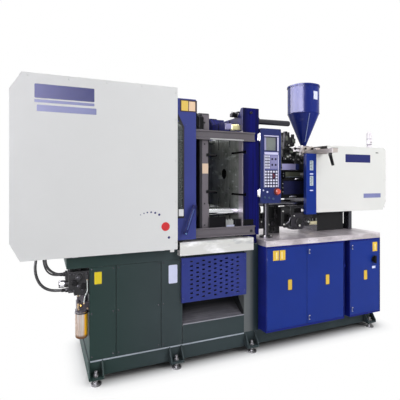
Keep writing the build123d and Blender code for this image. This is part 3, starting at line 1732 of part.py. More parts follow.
# Hopper: turned sheet cone and cylinder with a rolled rim
neck_radius = throat_diameter / 2
with BuildPart() as hopper:
    with BuildSketch(Plane.XZ):
        with BuildLine():
            Polyline(
                (hopper_x + neck_radius, hopper_bottom),
                (hopper_x + neck_radius + 32, hopper_bottom),
                (hopper_x + neck_radius + 32, hopper_bottom + 6),
                (hopper_x + neck_radius + hopper_wall, hopper_bottom + 6),
                (hopper_x + neck_radius + hopper_wall, hopper_bottom + hopper_neck),
                (hopper_x + hopper_radius, cone_top),
                (hopper_x + hopper_radius, hopper_top - 10),
                (hopper_x + hopper_radius + 5, hopper_top - 10),
                (hopper_x + hopper_radius + 5, hopper_top),
                (hopper_x + hopper_radius - hopper_wall, hopper_top),
                (hopper_x + hopper_radius - hopper_wall, cone_top + 1),
                (hopper_x + neck_radius, hopper_bottom + hopper_neck + 1),
                close=True,
            )
        make_face()
    revolve(axis=Axis((hopper_x, 0, 0), (0, 0, 1)))
    # Hinge ears for the lid at the rear
    for side in (-1, 1):
        ear_x = (hopper_x + side * 40 - 5, hopper_x + side * 40 + 5)
        block(ear_x, (hopper_radius - 1, hopper_radius + 26), (hopper_top - 16, hopper_top - 2))
        block(ear_x, (hopper_radius + 8, hopper_radius + 26), (hopper_top - 2, hopper_top + 8))
    rod_x(
        (hopper_x - 50, hopper_x + 50),
        hopper_radius + 17,
        hopper_top,
        8 + 2 * shaft_gap,
        Mode.SUBTRACT,
    )
hopper.part.label = "hopper"
export_step(hopper.part, "parts/hopper.step")

# Hopper lid: shallow dome on a hinge pin
lid_radius = hopper_radius + 5
lid_bottom = hopper_top + slide_gap
with BuildPart() as hopper_lid:
    with BuildSketch(Plane.XZ):
        with BuildLine():
            Polyline(
                (hopper_x, lid_bottom + lid_height),
                (hopper_x + lid_radius - 40, lid_bottom + lid_height - 4),
                (hopper_x + lid_radius, lid_bottom + 8),
                (hopper_x + lid_radius, lid_bottom),
                (hopper_x + lid_radius - lid_wall, lid_bottom),
                (hopper_x + lid_radius - lid_wall, lid_bottom + 6),
                (hopper_x + lid_radius - 41, lid_bottom + lid_height - 4 - lid_wall),
                (hopper_x, lid_bottom + lid_height - lid_wall),
                close=True,
            )
        make_face()
    revolve(axis=Axis((hopper_x, 0, 0), (0, 0, 1)))
    block(
        (hopper_x - 34, hopper_x + 34),
        (hopper_radius + 1, hopper_radius + 17),
        (hopper_top + 2, hopper_top + 9),
    )
    rod_x((hopper_x - 34, hopper_x + 34), hopper_radius + 17, hopper_top, 18)
    rod_x((hopper_x - 46, hopper_x + 46), hopper_radius + 17, hopper_top, 8)
hopper_lid.part.label = "hopper_lid"
export_step(hopper_lid.part, "parts/hopper_lid.step")

# Lock lever: tapered hand lever under the slide rail
lever_y = -slide_rail_front + 70
lever_top = slide_rail_bottom - slide_gap
with BuildPart() as hopper_lock_lever:
    rod_z(hopper_x, lever_y, (lever_top - 26, lever_top), 34)
    with BuildSketch(Plane.XZ.offset(-lever_y)):
        with BuildLine():
            Polyline(
                (hopper_x - 14, lever_top - 20),
                (hopper_x + 14, lever_top - 20),
                (hopper_x + 44, lever_top - 118),
                (hopper_x + 26, lever_top - 124),
                close=True,
            )
        make_face()
    extrude(amount=9, both=True)
hopper_lock_lever.part.label = "hopper_lock_lever"
export_step(hopper_lock_lever.part, "parts/hopper_lock_lever.step")

# Panel post on the worktop
post_socket_top = panel_bottom + 150
with BuildPart() as panel_post:
    rod_z(panel_post_x, -panel_post_y, (worktop_top, post_socket_top), panel_post_diameter)
    rod_z(panel_post_x, -panel_post_y, (worktop_top, worktop_top + 14), 120)
panel_post.part.label = "panel_post"
export_step(panel_post.part, "parts/panel_post.step")

# Control panel: cast frame with a sunk face, on a swivel socket
panel_back_y = -panel_front + panel_depth
panel_right = panel_left + panel_width
with BuildPart() as control_panel:
    block((panel_left, panel_right), (-panel_front, panel_back_y), (panel_bottom, panel_top))
    fillet(control_panel.edges().filter_by(Axis.Y), 8)
    face_x = (panel_left + 36, panel_right - 20)
    block(face_x, (-panel_front - 1, -panel_front + 4), (panel_bottom + 137, panel_top - 60), Mode.SUBTRACT)
    block(
        (panel_left + 42, panel_right - 42),
        (-panel_front, -panel_front + 14),
        (panel_top - 202, panel_top - 72),
        Mode.SUBTRACT,
    )
    rod_z(panel_post_x, -panel_post_y, (panel_bottom, post_socket_top + 12), panel_post_diameter + 24)
    block(
        (panel_post_x - 30, panel_post_x + 30),
        (panel_back_y - 1, -panel_post_y),
        (panel_bottom, post_socket_top + 12),
    )
    rod_z(
        panel_post_x,
        -panel_post_y,
        (panel_bottom - 1, post_socket_top + slide_gap),
        panel_post_diameter + 2 * slide_gap,
        Mode.SUBTRACT,
    )
    stop_x = panel_right - 43
    stop_z = panel_bottom + 104
    rod_y(
        stop_x,
        (-panel_front - 1, -panel_front + 34),
        stop_z,
        22 + 2 * slide_gap,
        Mode.SUBTRACT,
    )
control_panel.part.label = "control_panel"
export_step(control_panel.part, "parts/control_panel.step")

# Emergency stop: mushroom button with its stem
stop_travel = 6.0
with BuildPart() as emergency_stop:
    with BuildSketch(Plane.XY.offset(stop_z)):
        with BuildLine():
            Polyline(
                (stop_x, -panel_front + 24),
                (stop_x + 11, -panel_front + 24),
                (stop_x + 11, -panel_front - 12),
                (stop_x + stop_diameter / 2, -panel_front - 12),
                (stop_x + stop_diameter / 2, -panel_front - 20),
                (stop_x + stop_diameter / 2 - 9, -panel_front - 28),
                (stop_x, -panel_front - 30),
                close=True,
            )
        make_face()
    revolve(axis=Axis((stop_x, 0, stop_z), (0, 1, 0)))
emergency_stop.part.label = "emergency_stop"
export_step(emergency_stop.part, "parts/emergency_stop.step")

# Valve block on the left end wall of the base
valve_left = base_left - valve_block_reach
valve_top = body_top - valve_block_drop
valve_front = valve_y - valve_block_width / 2
valve_rear = valve_y + valve_block_width / 2
with BuildPart() as valve_block:
    block((valve_left + 20, base_left), (valve_front, valve_rear), (valve_top - 150, valve_top))
    block((valve_left, valve_left + 40), (valve_front + 10, valve_rear - 12), (valve_top - 62, valve_top - 4))
    rod_x((valve_left - 44, valve_left + 20), valve_y, valve_top - 92, 50)
    rod_y(valve_left + 90, (valve_front - 22, valve_front), valve_top - 40, 46)
    rod_y(valve_left + 90, (valve_front - 16, valve_front), valve_top - 104, 40)
    bracket_y = (valve_front + 10, valve_rear - 10)
    block((valve_left + 60, base_left), bracket_y, (valve_top - 176, valve_top - 150))
    elbow_y = (valve_front - 18, valve_front)
    block((base_left - 26, base_left - 8), elbow_y, (valve_top - 58, valve_top - 28))
valve_block.part.label = "valve_block"
export_step(valve_block.part, "parts/valve_block.step")

# Lubrication pump above its reservoir
reservoir_x = base_left - reservoir_inset
reservoir_y = valve_y - 10
reservoir_top = valve_top - reservoir_drop
reservoir_bottom = reservoir_top - reservoir_height
pump_y = (reservoir_y - 42, reservoir_y + 42)
with BuildPart() as lube_pump:
    block((base_left - 88, base_left), pump_y, (reservoir_top + 14, reservoir_top + 74))
    rod_z(reservoir_x, reservoir_y, (reservoir_top, reservoir_top + 14), reservoir_diameter)
    rod_z(base_left - 34, reservoir_y, (reservoir_top + 74, valve_top - 180), 56)
    rod_z(base_left - 74, reservoir_y, (reservoir_top + 74, reservoir_top + 110), 22)
    outlet_y = (pump_y[0] - 16, pump_y[0])
    block((base_left - 48, base_left - 30), outlet_y, (reservoir_top + 35, reservoir_top + 65))
lube_pump.part.label = "lube_pump"
export_step(lube_pump.part, "parts/lube_pump.step")

# Oil reservoir: moulded bowl under the pump
with BuildPart() as oil_reservoir:
    rod_z(reservoir_x, reservoir_y, (reservoir_bottom, reservoir_top), reservoir_diameter - 4)
    fillet(oil_reservoir.edges().filter_by(GeomType.CIRCLE).sort_by(Axis.Z)[0], 14)
    top_face = oil_reservoir.faces().sort_by(Axis.Z)[-1]
    offset(amount=-3, openings=top_face)
oil_reservoir.part.label = "oil_reservoir"
export_step(oil_reservoir.part, "parts/oil_reservoir.step")


# Hoses
def route_radii(points):
    """The largest arcs that the runs of a route allow, one for each inner point."""
    runs = [(Vector(*b) - Vector(*a)).length for a, b in zip(points, points[1:])]
    radii = []
    for number in range(1, len(points) - 1):
        before = Vector(*points[number]) - Vector(*points[number - 1])
        after = Vector(*points[number + 1]) - Vector(*points[number])
        turn = math.radians(before.get_angle(after))
        radii.append(0.45 * min(runs[number - 1], runs[number]) / math.tan(turn / 2))
    return radii


def hose(name, points, diameter):
    """A tube along straight runs joined by tangent arcs."""
    radii = route_radii(points)
    with BuildPart() as tube:
        with BuildLine() as path:
            FilletPolyline(*points, radius=radii)
        route = path.wire()
        with BuildSketch(Plane(origin=route @ 0, z_dir=route % 0)):
            Circle(diameter / 2)
        sweep(path=route)
    full_volume = route.length * math.pi * diameter**2 / 4
    print(name, "length", round(route.length, 1), "radii", [round(radius) for radius in radii])
    print(name, "volume ratio", round(tube.part.volume / full_volume, 4))
    return tube


hose_y = valve_y
long_hose_points = (
    (-1652, hose_y, port_bottom),
    (-1652, hose_y, 940),
    (-1661, hose_y, 870),
    (-1651, hose_y, 800),
    (-1620, hose_y, 738),
    (-1566, hose_y, 700),
    (-1500, hose_y, 690),
    (valve_left + 20, hose_y, 690),
)
hose_long = hose("hose_long", long_hose_points, 20)
hose_long.part.label = "hose_long"
export_step(hose_long.part, "parts/hose_long.step")

thin_hose_points = (
    (-1607, hose_y + 20, port_bottom),
    (-1607, hose_y + 20, 945),
    (-1602, hose_y + 20, 884),
    (-1582, hose_y + 20, 832),
    (-1545, hose_y + 20, 803),
    (-1501, hose_y + 20, 797),
    (valve_left, hose_y + 20, 797),
)
hose_thin = hose("hose_thin", thin_hose_points, 12)
hose_thin.part.label = "hose_thin"
export_step(hose_thin.part, "parts/hose_thin.step")

short_hose_points = (
    (-1590, hose_y - 15, port_bottom),
    (-1590, hose_y - 15, 955),
    (-1592, hose_y - 15, 903),
    (-1575, hose_y - 15, 861),
    (-1543, hose_y - 15, 829),
    (-1503, hose_y - 15, 812),
    (valve_left, hose_y - 15, 812),
)
hose_short = hose("hose_short", short_hose_points, 18)
hose_short.part.label = "hose_short"
export_step(hose_short.part, "parts/hose_short.step")

tube_points = (
    (-1309, -359, valve_top - 58),
    (-1309, -359, valve_top - 104),
    (-1305, -363, valve_top - 149),
    (-1331, -360, valve_top - 194),
    (-1331, -360, reservoir_top + 65),
)
lube_tube = hose("lube_tube", tube_points, 7)
lube_tube.part.label = "lube_tube"
export_step(lube_tube.part, "parts/lube_tube.step")
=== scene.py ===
import math
from functools import partial

import bmesh
import bpy
from mathutils import Matrix, Vector


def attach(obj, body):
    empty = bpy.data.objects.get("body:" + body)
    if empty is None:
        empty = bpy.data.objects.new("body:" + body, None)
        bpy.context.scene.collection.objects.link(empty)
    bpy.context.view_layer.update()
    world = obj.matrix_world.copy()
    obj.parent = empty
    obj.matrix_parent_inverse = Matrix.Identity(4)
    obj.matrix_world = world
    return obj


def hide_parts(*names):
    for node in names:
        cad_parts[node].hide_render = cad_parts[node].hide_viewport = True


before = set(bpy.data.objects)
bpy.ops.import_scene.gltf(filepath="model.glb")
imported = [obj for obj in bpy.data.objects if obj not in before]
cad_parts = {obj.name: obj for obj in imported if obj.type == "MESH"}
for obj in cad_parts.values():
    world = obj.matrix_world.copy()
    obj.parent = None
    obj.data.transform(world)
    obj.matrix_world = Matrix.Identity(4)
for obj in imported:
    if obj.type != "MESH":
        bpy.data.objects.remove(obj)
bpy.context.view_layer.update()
MM = 0.001


# Camera: the photograph's solved viewpoint, level, 33 mm lens
camera_data = bpy.data.cameras.new("camera")
camera_data.sensor_width = 36.0
camera_data.lens = 33.0
camera_data.shift_y = -0.0525
camera_data.clip_start = 0.05
camera_data.clip_end = 200.0
camera = bpy.data.objects.new("camera", camera_data)
camera.location = (-1.603, -3.168, 1.506)
camera.rotation_euler = (math.radians(90), 0, math.radians(-23.1))
bpy.context.collection.objects.link(camera)
bpy.context.scene.camera = camera


# Hoses, on the same points as the CAD tubes
def make_cord(name, points, diameter, node):
    curve = bpy.data.curves.new(name, "CURVE")
    curve.dimensions = "3D"
    curve.bevel_depth = 1.0
    curve.bevel_resolution = 6
    curve.resolution_u = 16
    curve.use_fill_caps = True
    spline = curve.splines.new("NURBS")
    spline.points.add(len(points) - 1)
    for slot, point in zip(spline.points, points):
        slot.co = (point[0] * MM, point[1] * MM, point[2] * MM, 1.0)
        slot.radius = diameter / 2 * MM
    spline.order_u = 3
    spline.use_endpoint_u = True
    obj = bpy.data.objects.new(name, curve)
    bpy.context.collection.objects.link(obj)
    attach(obj, "base")
    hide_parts(node)
    return obj


long_points = (
    (-1652, -300, 1005), (-1652, -300, 940), (-1661, -300, 870), (-1651, -300, 800),
    (-1620, -300, 738), (-1566, -300, 700), (-1500, -300, 690), (-1438, -300, 690),
)
thin_points = (
    (-1607, -280, 1005), (-1607, -280, 945), (-1602, -280, 884), (-1582, -280, 832),
    (-1545, -280, 803), (-1501, -280, 797), (-1458, -280, 797),
)
short_points = (
    (-1590, -315, 1005), (-1590, -315, 955), (-1592, -315, 903), (-1575, -315, 861),
    (-1543, -315, 829), (-1503, -315, 812), (-1458, -315, 812),
)
lube_points = (
    (-1309, -359, 770), (-1309, -359, 724), (-1305, -363, 679), (-1331, -360, 634), (-1331, -360, 590),
)
long_hose = make_cord("long_hose_visual", long_points, 20, "hose_long")
thin_hose = make_cord("thin_hose_visual", thin_points, 12, "hose_thin")
short_hose = make_cord("short_hose_visual", short_points, 18, "hose_short")
lube_line = make_cord("lube_tube_visual", lube_points, 7, "lube_tube")


# Materials
def linear(color):
    """A colour as it looks on screen, 0 to 255, in linear values. Four numbers are linear already."""
    if len(color) == 4:
        return color
    values = [v / 255.0 for v in color]
    return tuple(v / 12.92 if v <= 0.04045 else ((v + 0.055) / 1.055) ** 2.4 for v in values) + (1.0,)


def add_node(tree, kind, inputs=None, **settings):
    """A shader node. An input is linked when its value is the output of another node."""
    made = tree.nodes.new(kind)
    for key, value in settings.items():
        setattr(made, key, value)
    for key, value in (inputs or {}).items():
        if isinstance(value, bpy.types.NodeSocket):
            tree.links.new(value, made.inputs[key])
        else:
            made.inputs[key].default_value = value
    return made


class Surface:
    """One procedural material, built up from layers of colour, roughness and bump."""

    def __init__(self, name, color, rough=0.4, metallic=0.0, gloss=0.5):
        self.material = bpy.data.materials.new(name)
        self.material.use_nodes = True
        self.tree = self.material.node_tree
        self.tree.nodes.clear()
        self.color = linear(color)
        self.rough = rough
        self.color_out = None
        self.normal = None
        self.edge_out = None
        values = {"Base Color": self.color, "Roughness": rough, "Metallic": metallic}
        self.shader = self.node("ShaderNodeBsdfPrincipled", {**values, "Specular IOR Level": gloss})
        self.output = self.node("ShaderNodeOutputMaterial", {0: self.shader.outputs[0]})
        self.coord = self.node("ShaderNodeTexCoord").outputs["Object"]

    def node(self, kind, inputs=None, **settings):
        return add_node(self.tree, kind, inputs, **settings)

    def feed(self, name, value):
        self.tree.links.new(value, self.shader.inputs[name])
        return self

    def clear(self, ior, weight):
        self.shader.inputs["Transmission Weight"].default_value = weight
        self.shader.inputs["IOR"].default_value = ior
        return self

    def noise(self, scale, detail=4.0, roughness=0.55, stretch=None):
        vector = self.coord
        if stretch:
            vector = self.node("ShaderNodeMapping", {"Scale": stretch, "Vector": vector}).outputs[0]
        values = {"Scale": scale, "Detail": detail, "Roughness": roughness, "Vector": vector}
        return self.node("ShaderNodeTexNoise", values).outputs[0]

    def span(self, value, low, high, to_low=0.0, to_high=1.0):
        values = {"Value": value, "From Min": low, "From Max": high, "To Min": to_low, "To Max": to_high}
        return self.node("ShaderNodeMapRange", values).outputs[0]

    def streaks(self, stretch, low, high, to_low=0.0, to_high=1.0, detail=3):
        """A mask of noise, drawn out along the axes that have small numbers."""
        return self.span(self.noise(1.0, detail, 0.6, stretch), low, high, to_low, to_high)

    def compute(self, operation, a, b):
        return self.node("ShaderNodeMath", {0: a, 1: b}, operation=operation).outputs[0]

    def both(self, a, b):
        """The product of two masks."""
        return self.compute("MULTIPLY", a, b)

    def along(self, axis):
        """A coordinate of the part, in metres."""
        return self.node("ShaderNodeSeparateXYZ", {0: self.coord}).outputs["XYZ".index(axis)]

    def region(self, axis, low, high):
        """A mask that is white where the coordinate is below low."""
        return self.span(self.along(axis), low, high, 1.0, 0.0)

    def inside(self, axis, low, high):
        """A mask that is white where the coordinate lies between low and high."""
        value = self.along(axis)
        return self.both(self.compute("GREATER_THAN", value, low), self.compute("LESS_THAN", value, high))

    def blend(self, mask, color):
        """Lay a colour over what is there, where the mask is white."""
        values = {"Factor": mask, 6: self.color_out or self.color, 7: linear(color)}
        self.color_out = self.node("ShaderNodeMix", values, data_type="RGBA").outputs[2]
        return self.feed("Base Color", self.color_out)

    def mottle(self, amount=0.06, scale=2.5):
        """Slow changes of tone over the surface, both darker and lighter."""
        dark = tuple(v * (1 - amount) for v in self.color[:3]) + (1,)
        light = tuple(min(1, v * (1 + amount)) for v in self.color[:3]) + (1,)
        self.blend(self.span(self.noise(scale), 0.35, 0.5, 1, 0), dark)
        return self.blend(self.span(self.noise(scale * 1.7, 3), 0.5, 0.7), light)

    def rough_noise(self, spread=0.08, scale=9.0):
        value = self.span(self.noise(scale, 5), 0.3, 0.7, self.rough - spread, self.rough + spread)
        return self.feed("Roughness", value)

    def bump(self, height, strength, distance):
        values = {"Height": height, "Strength": strength, "Distance": distance}
        if self.normal is not None:
            values["Normal"] = self.normal
        self.normal = self.node("ShaderNodeBump", values).outputs[0]
        return self.feed("Normal", self.normal)

    def soft_edges(self, radius=0.0015):
        """Round the light on sharp edges, and keep a mask of where they are."""
        self.normal = self.node("ShaderNodeBevel", {"Radius": radius}, samples=6).outputs[0]
        flat = self.node("ShaderNodeNewGeometry").outputs["Normal"]
        dot = self.node("ShaderNodeVectorMath", {0: self.normal, 1: flat}, operation="DOT_PRODUCT")
        self.edge_out = self.span(dot.outputs["Value"], 0.995, 0.80)
        return self.feed("Normal", self.normal)

    def wear(self, color, amount=0.5, scale=40.0):
        """Rub the colour thin along edges, broken up by noise."""
        patches = self.span(self.noise(scale, 6, 0.65), 0.42, 0.62, 0, amount)
        return self.blend(self.both(self.edge_out, patches), color)

    def shade_corners(self, color, amount=0.5, distance=0.06):
        """Painted shade: darken inner corners and recesses that ambient occlusion finds hidden."""
        hidden = self.node("ShaderNodeAmbientOcclusion", {"Distance": distance}, samples=6)
        return self.blend(self.span(hidden.outputs["AO"], 0.85, 0.3, 0, amount), color)

    def orange_peel(self):
        return self.bump(self.noise(380.0, 2, 0.5), 0.10, 0.0004)

    def brushed(self, direction, strength=0.15, fine=900.0):
        """Fine scratches along one axis."""
        stretch = [fine, fine, fine]
        stretch["xyz".index(direction)] = 6.0
        grain = self.noise(1.0, 3, 0.6, stretch)
        self.bump(grain, strength, 0.0003)
        return self.feed("Roughness", self.span(grain, 0.3, 0.7, self.rough - 0.07, self.rough + 0.09))


def paint(name, rgb, rough, wear_rgb, wear, gloss, mottle):
    s = Surface(name, rgb, rough, gloss=gloss)
    s.soft_edges(0.0018).mottle(mottle, 1.6).shade_corners((18, 20, 24), 0.35)
    s.wear(wear_rgb, wear).rough_noise(0.06, 5.0).orange_peel()
    return s.material


white_paint = paint("white_cover_paint", (216, 216, 216), 0.45, (180, 180, 178), 0.15, 0.07, 0.014)
cream_paint = paint("injection_cover_paint", (212, 212, 209), 0.42, (190, 190, 188), 0.15, 0.28, 0.014)
gate_blue = paint("gate_blue_paint", (54, 62, 128), 0.40, (120, 126, 170), 0.35, 0.18, 0.06)
guard_blue = paint("slotted_guard_blue", (38, 50, 124), 0.36, (120, 126, 180), 0.5, 0.22, 0.10)
door_blue = paint("cabinet_blue_paint", (10, 42, 126), 0.40, (100, 116, 170), 0.30, 0.18, 0.07)
shell_blue = paint("cabinet_shell_blue", (8, 24, 112), 0.40, (90, 100, 155), 0.30, 0.16, 0.05)
hopper_paint = paint("hopper_navy_enamel", (8, 30, 112), 0.24, (90, 96, 150), 0.20, 0.20, 0.03)
rail_paint = paint("gate_rail_grey", (96, 91, 96), 0.42, (176, 172, 176), 0.45, 0.25, 0.12)
strip_grey = paint("platen_strip_grey", (104, 98, 104), 0.42, (170, 166, 170), 0.5, 0.25, 0.16)
panel_blue = paint("panel_frame_blue", (38, 46, 96), 0.42, (130, 138, 175), 0.3, 0.12, 0.05)
pale_lilac = paint("pale_lilac_paint", (150, 146, 188), 0.40, (190, 190, 205), 0.3, 0.25, 0.05)
plain_grey = paint("machinery_grey", (146, 148, 148), 0.42, (180, 180, 180), 0.3, 0.2, 0.05)
# Pale paint that stands for highlights: the light caught along the frame's top edge and the barrel shield's
# lower lip.
highlight_edge_paint = paint("painted_highlight_edge", (156, 164, 174), 0.36, (224, 226, 230), 0.5, 0.35, 0.16)
# Pale paint that stands for the highlight along the chute's front edge.
chute_edge_highlight = paint("chute_lip_painted_highlight", (142, 142, 150), 0.40, (190, 190, 196), 0.5, 0.3, 0.14)
pump_grey = paint("pump_warm_grey", (62, 56, 64), 0.42, (150, 144, 136), 0.6, 0.25, 0.14)
pump_beige = paint("pump_beige_fitting", (196, 172, 140), 0.42, (220, 206, 186), 0.5, 0.25, 0.10)
black_paint = paint("carriage_black_paint", (13, 13, 16), 0.42, (70, 70, 76), 0.45, 0.08, 0.08)
dark_navy = paint("guard_plate_navy", (10, 14, 52), 0.42, (80, 84, 120), 0.35, 0.2, 0.10)
# Pale paint that stands for the highlight along the gate rail's lower edge.
rail_glint_paint = paint("rail_edge_highlight", (176, 176, 176), 0.34, (210, 210, 210), 0.4, 0.5, 0.20)
cap_grey = paint("rail_cap_grey", (128, 124, 122), 0.42, (170, 166, 162), 0.3, 0.25, 0.05)
slide_steel = paint("slide_rail_pale_steel", (188, 178, 172), 0.34, (214, 210, 206), 0.4, 0.5, 0.08)


def slate_surface():
    """Dark slate paint, with painted shade making it darker and greener to the left, paling to grey over the
    left half of the end post, and painted shade over its right part.
    """
    s = Surface("base_slate_paint", (56, 66, 68), 0.45, gloss=0.09)
    s.soft_edges(0.0018).mottle(0.07, 1.6)
    # Painted shade: darker and greener towards the left end.
    s.blend(s.region("X", -1.30, -0.75), (38, 58, 54))
    post = s.both(s.inside("X", 0.0096, 0.156), s.inside("Z", 0.166, 0.93))
    s.blend(s.both(post, s.region("X", 0.060, 0.110)), (104, 108, 108))
    # Painted shade: the right part of the end post goes darker.
    s.blend(s.both(post, s.region("X", 0.150, 0.095)), (24, 40, 42))
    s.shade_corners((12, 16, 16), 0.4).wear((150, 156, 156), 0.45).rough_noise(0.06, 5.0).orange_peel()
    return s.material


def platen_paint():
    """Navy casting paint with the mould face, at X = 0, left as bare machined iron, and painted shade,
    near-black, inside the slots and recesses behind the face.
    """
    s = Surface("platen_navy_and_milled_face", (8, 12, 92), 0.40, gloss=0.07)
    s.soft_edges(0.0018).mottle(0.07, 1.6).shade_corners((6, 8, 20), 0.4)
    s.blend(s.streaks((46.0, 8.0, 0.8), 0.46, 0.60, 0.0, 0.75), (2, 4, 44))
    edge = s.both(s.region("X", 0.020, 0.075), s.region("Y", -0.3625, -0.3620))
    s.blend(s.span(edge, 0.0, 1.0, 0.0, 0.8), (2, 4, 34))
    s.wear((84, 90, 140), 0.4)
    bare = s.both(s.region("X", 0.0008, 0.0016), s.region("Z", 1.922, 1.928))
    s.blend(bare, (146, 150, 142))
    margin = s.both(bare, s.region("Y", -0.292, -0.288))
    s.blend(s.both(bare, s.streaks((60.0, 150.0, 1.2), 0.36, 0.50, 1.0, 0.0)), (92, 95, 90))
    stains = s.span(s.noise(9.0, 6, 0.72), 0.50, 0.62, 0.0, 0.7)
    s.blend(s.both(bare, stains), (96, 100, 92))
    rubbed = s.span(s.noise(14.0, 4, 0.6, (1.0, 1.0, 2.2)), 0.62, 0.72, 0.0, 0.8)
    s.blend(s.both(bare, rubbed), (216, 222, 216))
    band = s.both(bare, s.streaks((1.0, 2.2, 7.0), 0.56, 0.64, 0.0, 0.75))
    s.blend(s.both(band, s.inside("Z", 1.36, 1.72)), (208, 212, 206))
    s.blend(margin, (150, 144, 150))
    # Painted shade: the insides of the slots and recesses behind the face go near-black.
    sunk = s.both(s.inside("X", 0.0018, 0.155), s.inside("Y", -0.3645, 0.3645))
    s.blend(s.both(sunk, s.inside("Z", 1.02, 2.05)), (8, 8, 9))
    s.feed("Metallic", s.span(bare, 0.0, 1.0, 0.0, 0.35))
    s.feed("Roughness", s.span(s.noise(6.0, 5), 0.3, 0.7, 0.36, 0.50))
    s.bump(s.noise(260.0, 3), 0.10, 0.0004)
    return s.material


def moving_platen_paint():
    """Dark casting with the mould face, on its +X side, left bare and scored; the casting's near-black
    colour also paints the shade in the gaps beside its front strip.
    """
    s = Surface("moving_platen_casting", (34, 32, 38), 0.48, gloss=0.25)
    s.soft_edges(0.002).mottle(0.12, 3.0).shade_corners((10, 10, 12), 0.45, 0.08)
    s.wear((110, 108, 112), 0.4, 25.0)
    bare = s.span(s.along("X"), -0.3198, -0.3188)
    s.blend(bare, (132, 130, 124))
    s.blend(s.both(bare, s.streaks((40.0, 60.0, 2.0), 0.42, 0.58, 1.0, 0.0, 4)), (84, 82, 78))
    s.feed("Metallic", s.span(bare, 0.0, 1.0, 0.0, 0.5))
    s.bump(s.noise(90.0, 6, 0.62), 0.22, 0.0010)
    return s.material


def cast_paint(name, rgb):
    s = Surface(name, rgb, 0.5, gloss=0.25)
    s.soft_edges(0.003).mottle(0.12, 3.0).shade_corners((14, 16, 16), 0.5, 0.1)
    s.wear((120, 122, 118), 0.4, 25.0).rough_noise(0.08, 7.0)
    s.bump(s.noise(90.0, 6, 0.62), 0.28, 0.0012)
    return s.material


slate_paint = slate_surface()
navy_paint = platen_paint()
moving_paint = moving_platen_paint()
cast_green = cast_paint("cast_iron_green_grey", (46, 54, 50))
cast_black = cast_paint("cast_iron_black", (14, 15, 16))
stack_grey = cast_paint("cast_iron_mid_grey", (78, 82, 74))
shield_olive = cast_paint("shield_olive_grey", (104, 106, 88))
rib_grey = cast_paint("rib_grey_green", (142, 150, 144))
tray_cream = cast_paint("drip_tray_cream", (184, 178, 144))
cast_shade = cast_paint("cast_iron_dark_grey", (34, 32, 38))


def metal(name, rgb, rough, direction="x", strength=0.12, fine=900.0):
    s = Surface(name, rgb, rough, 1.0)
    s.soft_edges(0.0012).mottle(0.06, 4.0).shade_corners((40, 40, 40), 0.35, 0.04)
    return s.brushed(direction, strength, fine).material


ground_steel = metal("ground_steel", (178, 178, 180), 0.30, "x", 0.10, 1100.0)
chrome_bar = metal("hard_chrome_bar", (214, 216, 218), 0.14, "x", 0.04, 1500.0)
dark_bar = metal("dark_round_bar", (62, 62, 66), 0.38)
rod_steel = metal("guide_rod_steel", (92, 92, 98), 0.24, "x", 0.05, 1300.0)
silver = metal("silver_coil_case", (206, 206, 208), 0.30, "z", 0.08, 1400.0)
foot_steel = metal("foot_steel", (126, 126, 126), 0.42, "z")
band_steel = metal("heater_band_sheet", (112, 112, 100), 0.42, "x", 0.12, 700.0)
zinc = metal("zinc_fasteners", (186, 186, 182), 0.32, "z", 0.10, 1500.0)
dark_steel = metal("black_oxide_steel", (58, 58, 60), 0.38, "z", 0.10, 1200.0)
pale_brass = metal("pale_brass_block", (206, 200, 150), 0.38, "z", 0.08, 1500.0)
brass = metal("brass_fittings", (196, 160, 84), 0.28, "z", 0.08, 1500.0)


def streaked_steel(name, rgb, rough, pale, dark):
    """Satin sheet with broad soft streaks of reflection along the machine."""
    s = Surface(name, rgb, rough, 0.75)
    s.soft_edges(0.0012)
    s.blend(s.streaks((3.5, 2.0, 9.0), 0.46, 0.62, 0.0, 0.85, 4), pale)
    s.blend(s.streaks((5.0, 3.0, 16.0), 0.52, 0.66, 0.0, 0.7), dark)
    return s.shade_corners((60, 60, 60), 0.35, 0.04).brushed("x", 0.10, 700.0).material


def tie_bar_steel():
    """Hard chrome on the bars, black oxide on the nuts behind the fixed platen."""
    s = Surface("tie_bar_chrome", (206, 208, 210), 0.16, 1.0, 0.06)
    s.soft_edges(0.0012).mottle(0.06, 4.0).shade_corners((40, 40, 40), 0.3, 0.04)
    s.brushed("x", 0.04, 1500.0)
    s.blend(s.region("X", 0.1635, 0.1625), (30, 30, 34))
    return s.feed("Metallic", s.region("X", 0.1625, 0.1635)).material


def chute_surface():
    """Worn sheet, pale near the lip, with painted shade darkening it further in."""
    s = Surface("chute_sheet", (96, 95, 102), 0.46, gloss=0.25)
    s.soft_edges(0.0012).mottle(0.14, 6.0)
    s.blend(s.streaks((3.0, 60.0, 60.0), 0.44, 0.60, 0.0, 0.6, 4), (128, 124, 132))
    s.blend(s.region("Z", 0.62, 0.40), (96, 95, 102))
    # Painted shade: the sheet goes near-black further in, under the guard.
    s.blend(s.span(s.along("Y"), -0.36, -0.20, 0.0, 0.97), (12, 13, 17))
    s.blend(s.inside("X", -0.006, 0.02), (16, 20, 22))
    s.shade_corners((8, 8, 10), 0.6, 0.12)
    return s.bump(s.noise(120.0, 4), 0.12, 0.0004).material


stainless = streaked_steel("stainless_sheet", (206, 206, 202), 0.36, (244, 244, 244), (166, 168, 172))
worktop_steel = streaked_steel("worktop_stainless", (196, 188, 191), 0.34, (236, 229, 233), (154, 146, 150))
tie_steel = tie_bar_steel()
chute_steel = chute_surface()


def plastic(name, rgb, rough=0.42, strength=0.06, grain=900.0, gloss=0.25):
    s = Surface(name, rgb, rough, gloss=gloss)
    s.soft_edges(0.0012).mottle(0.05, 6.0).rough_noise(0.06, 20.0)
    return s.bump(s.noise(grain, 3, 0.6), strength, 0.0003).material


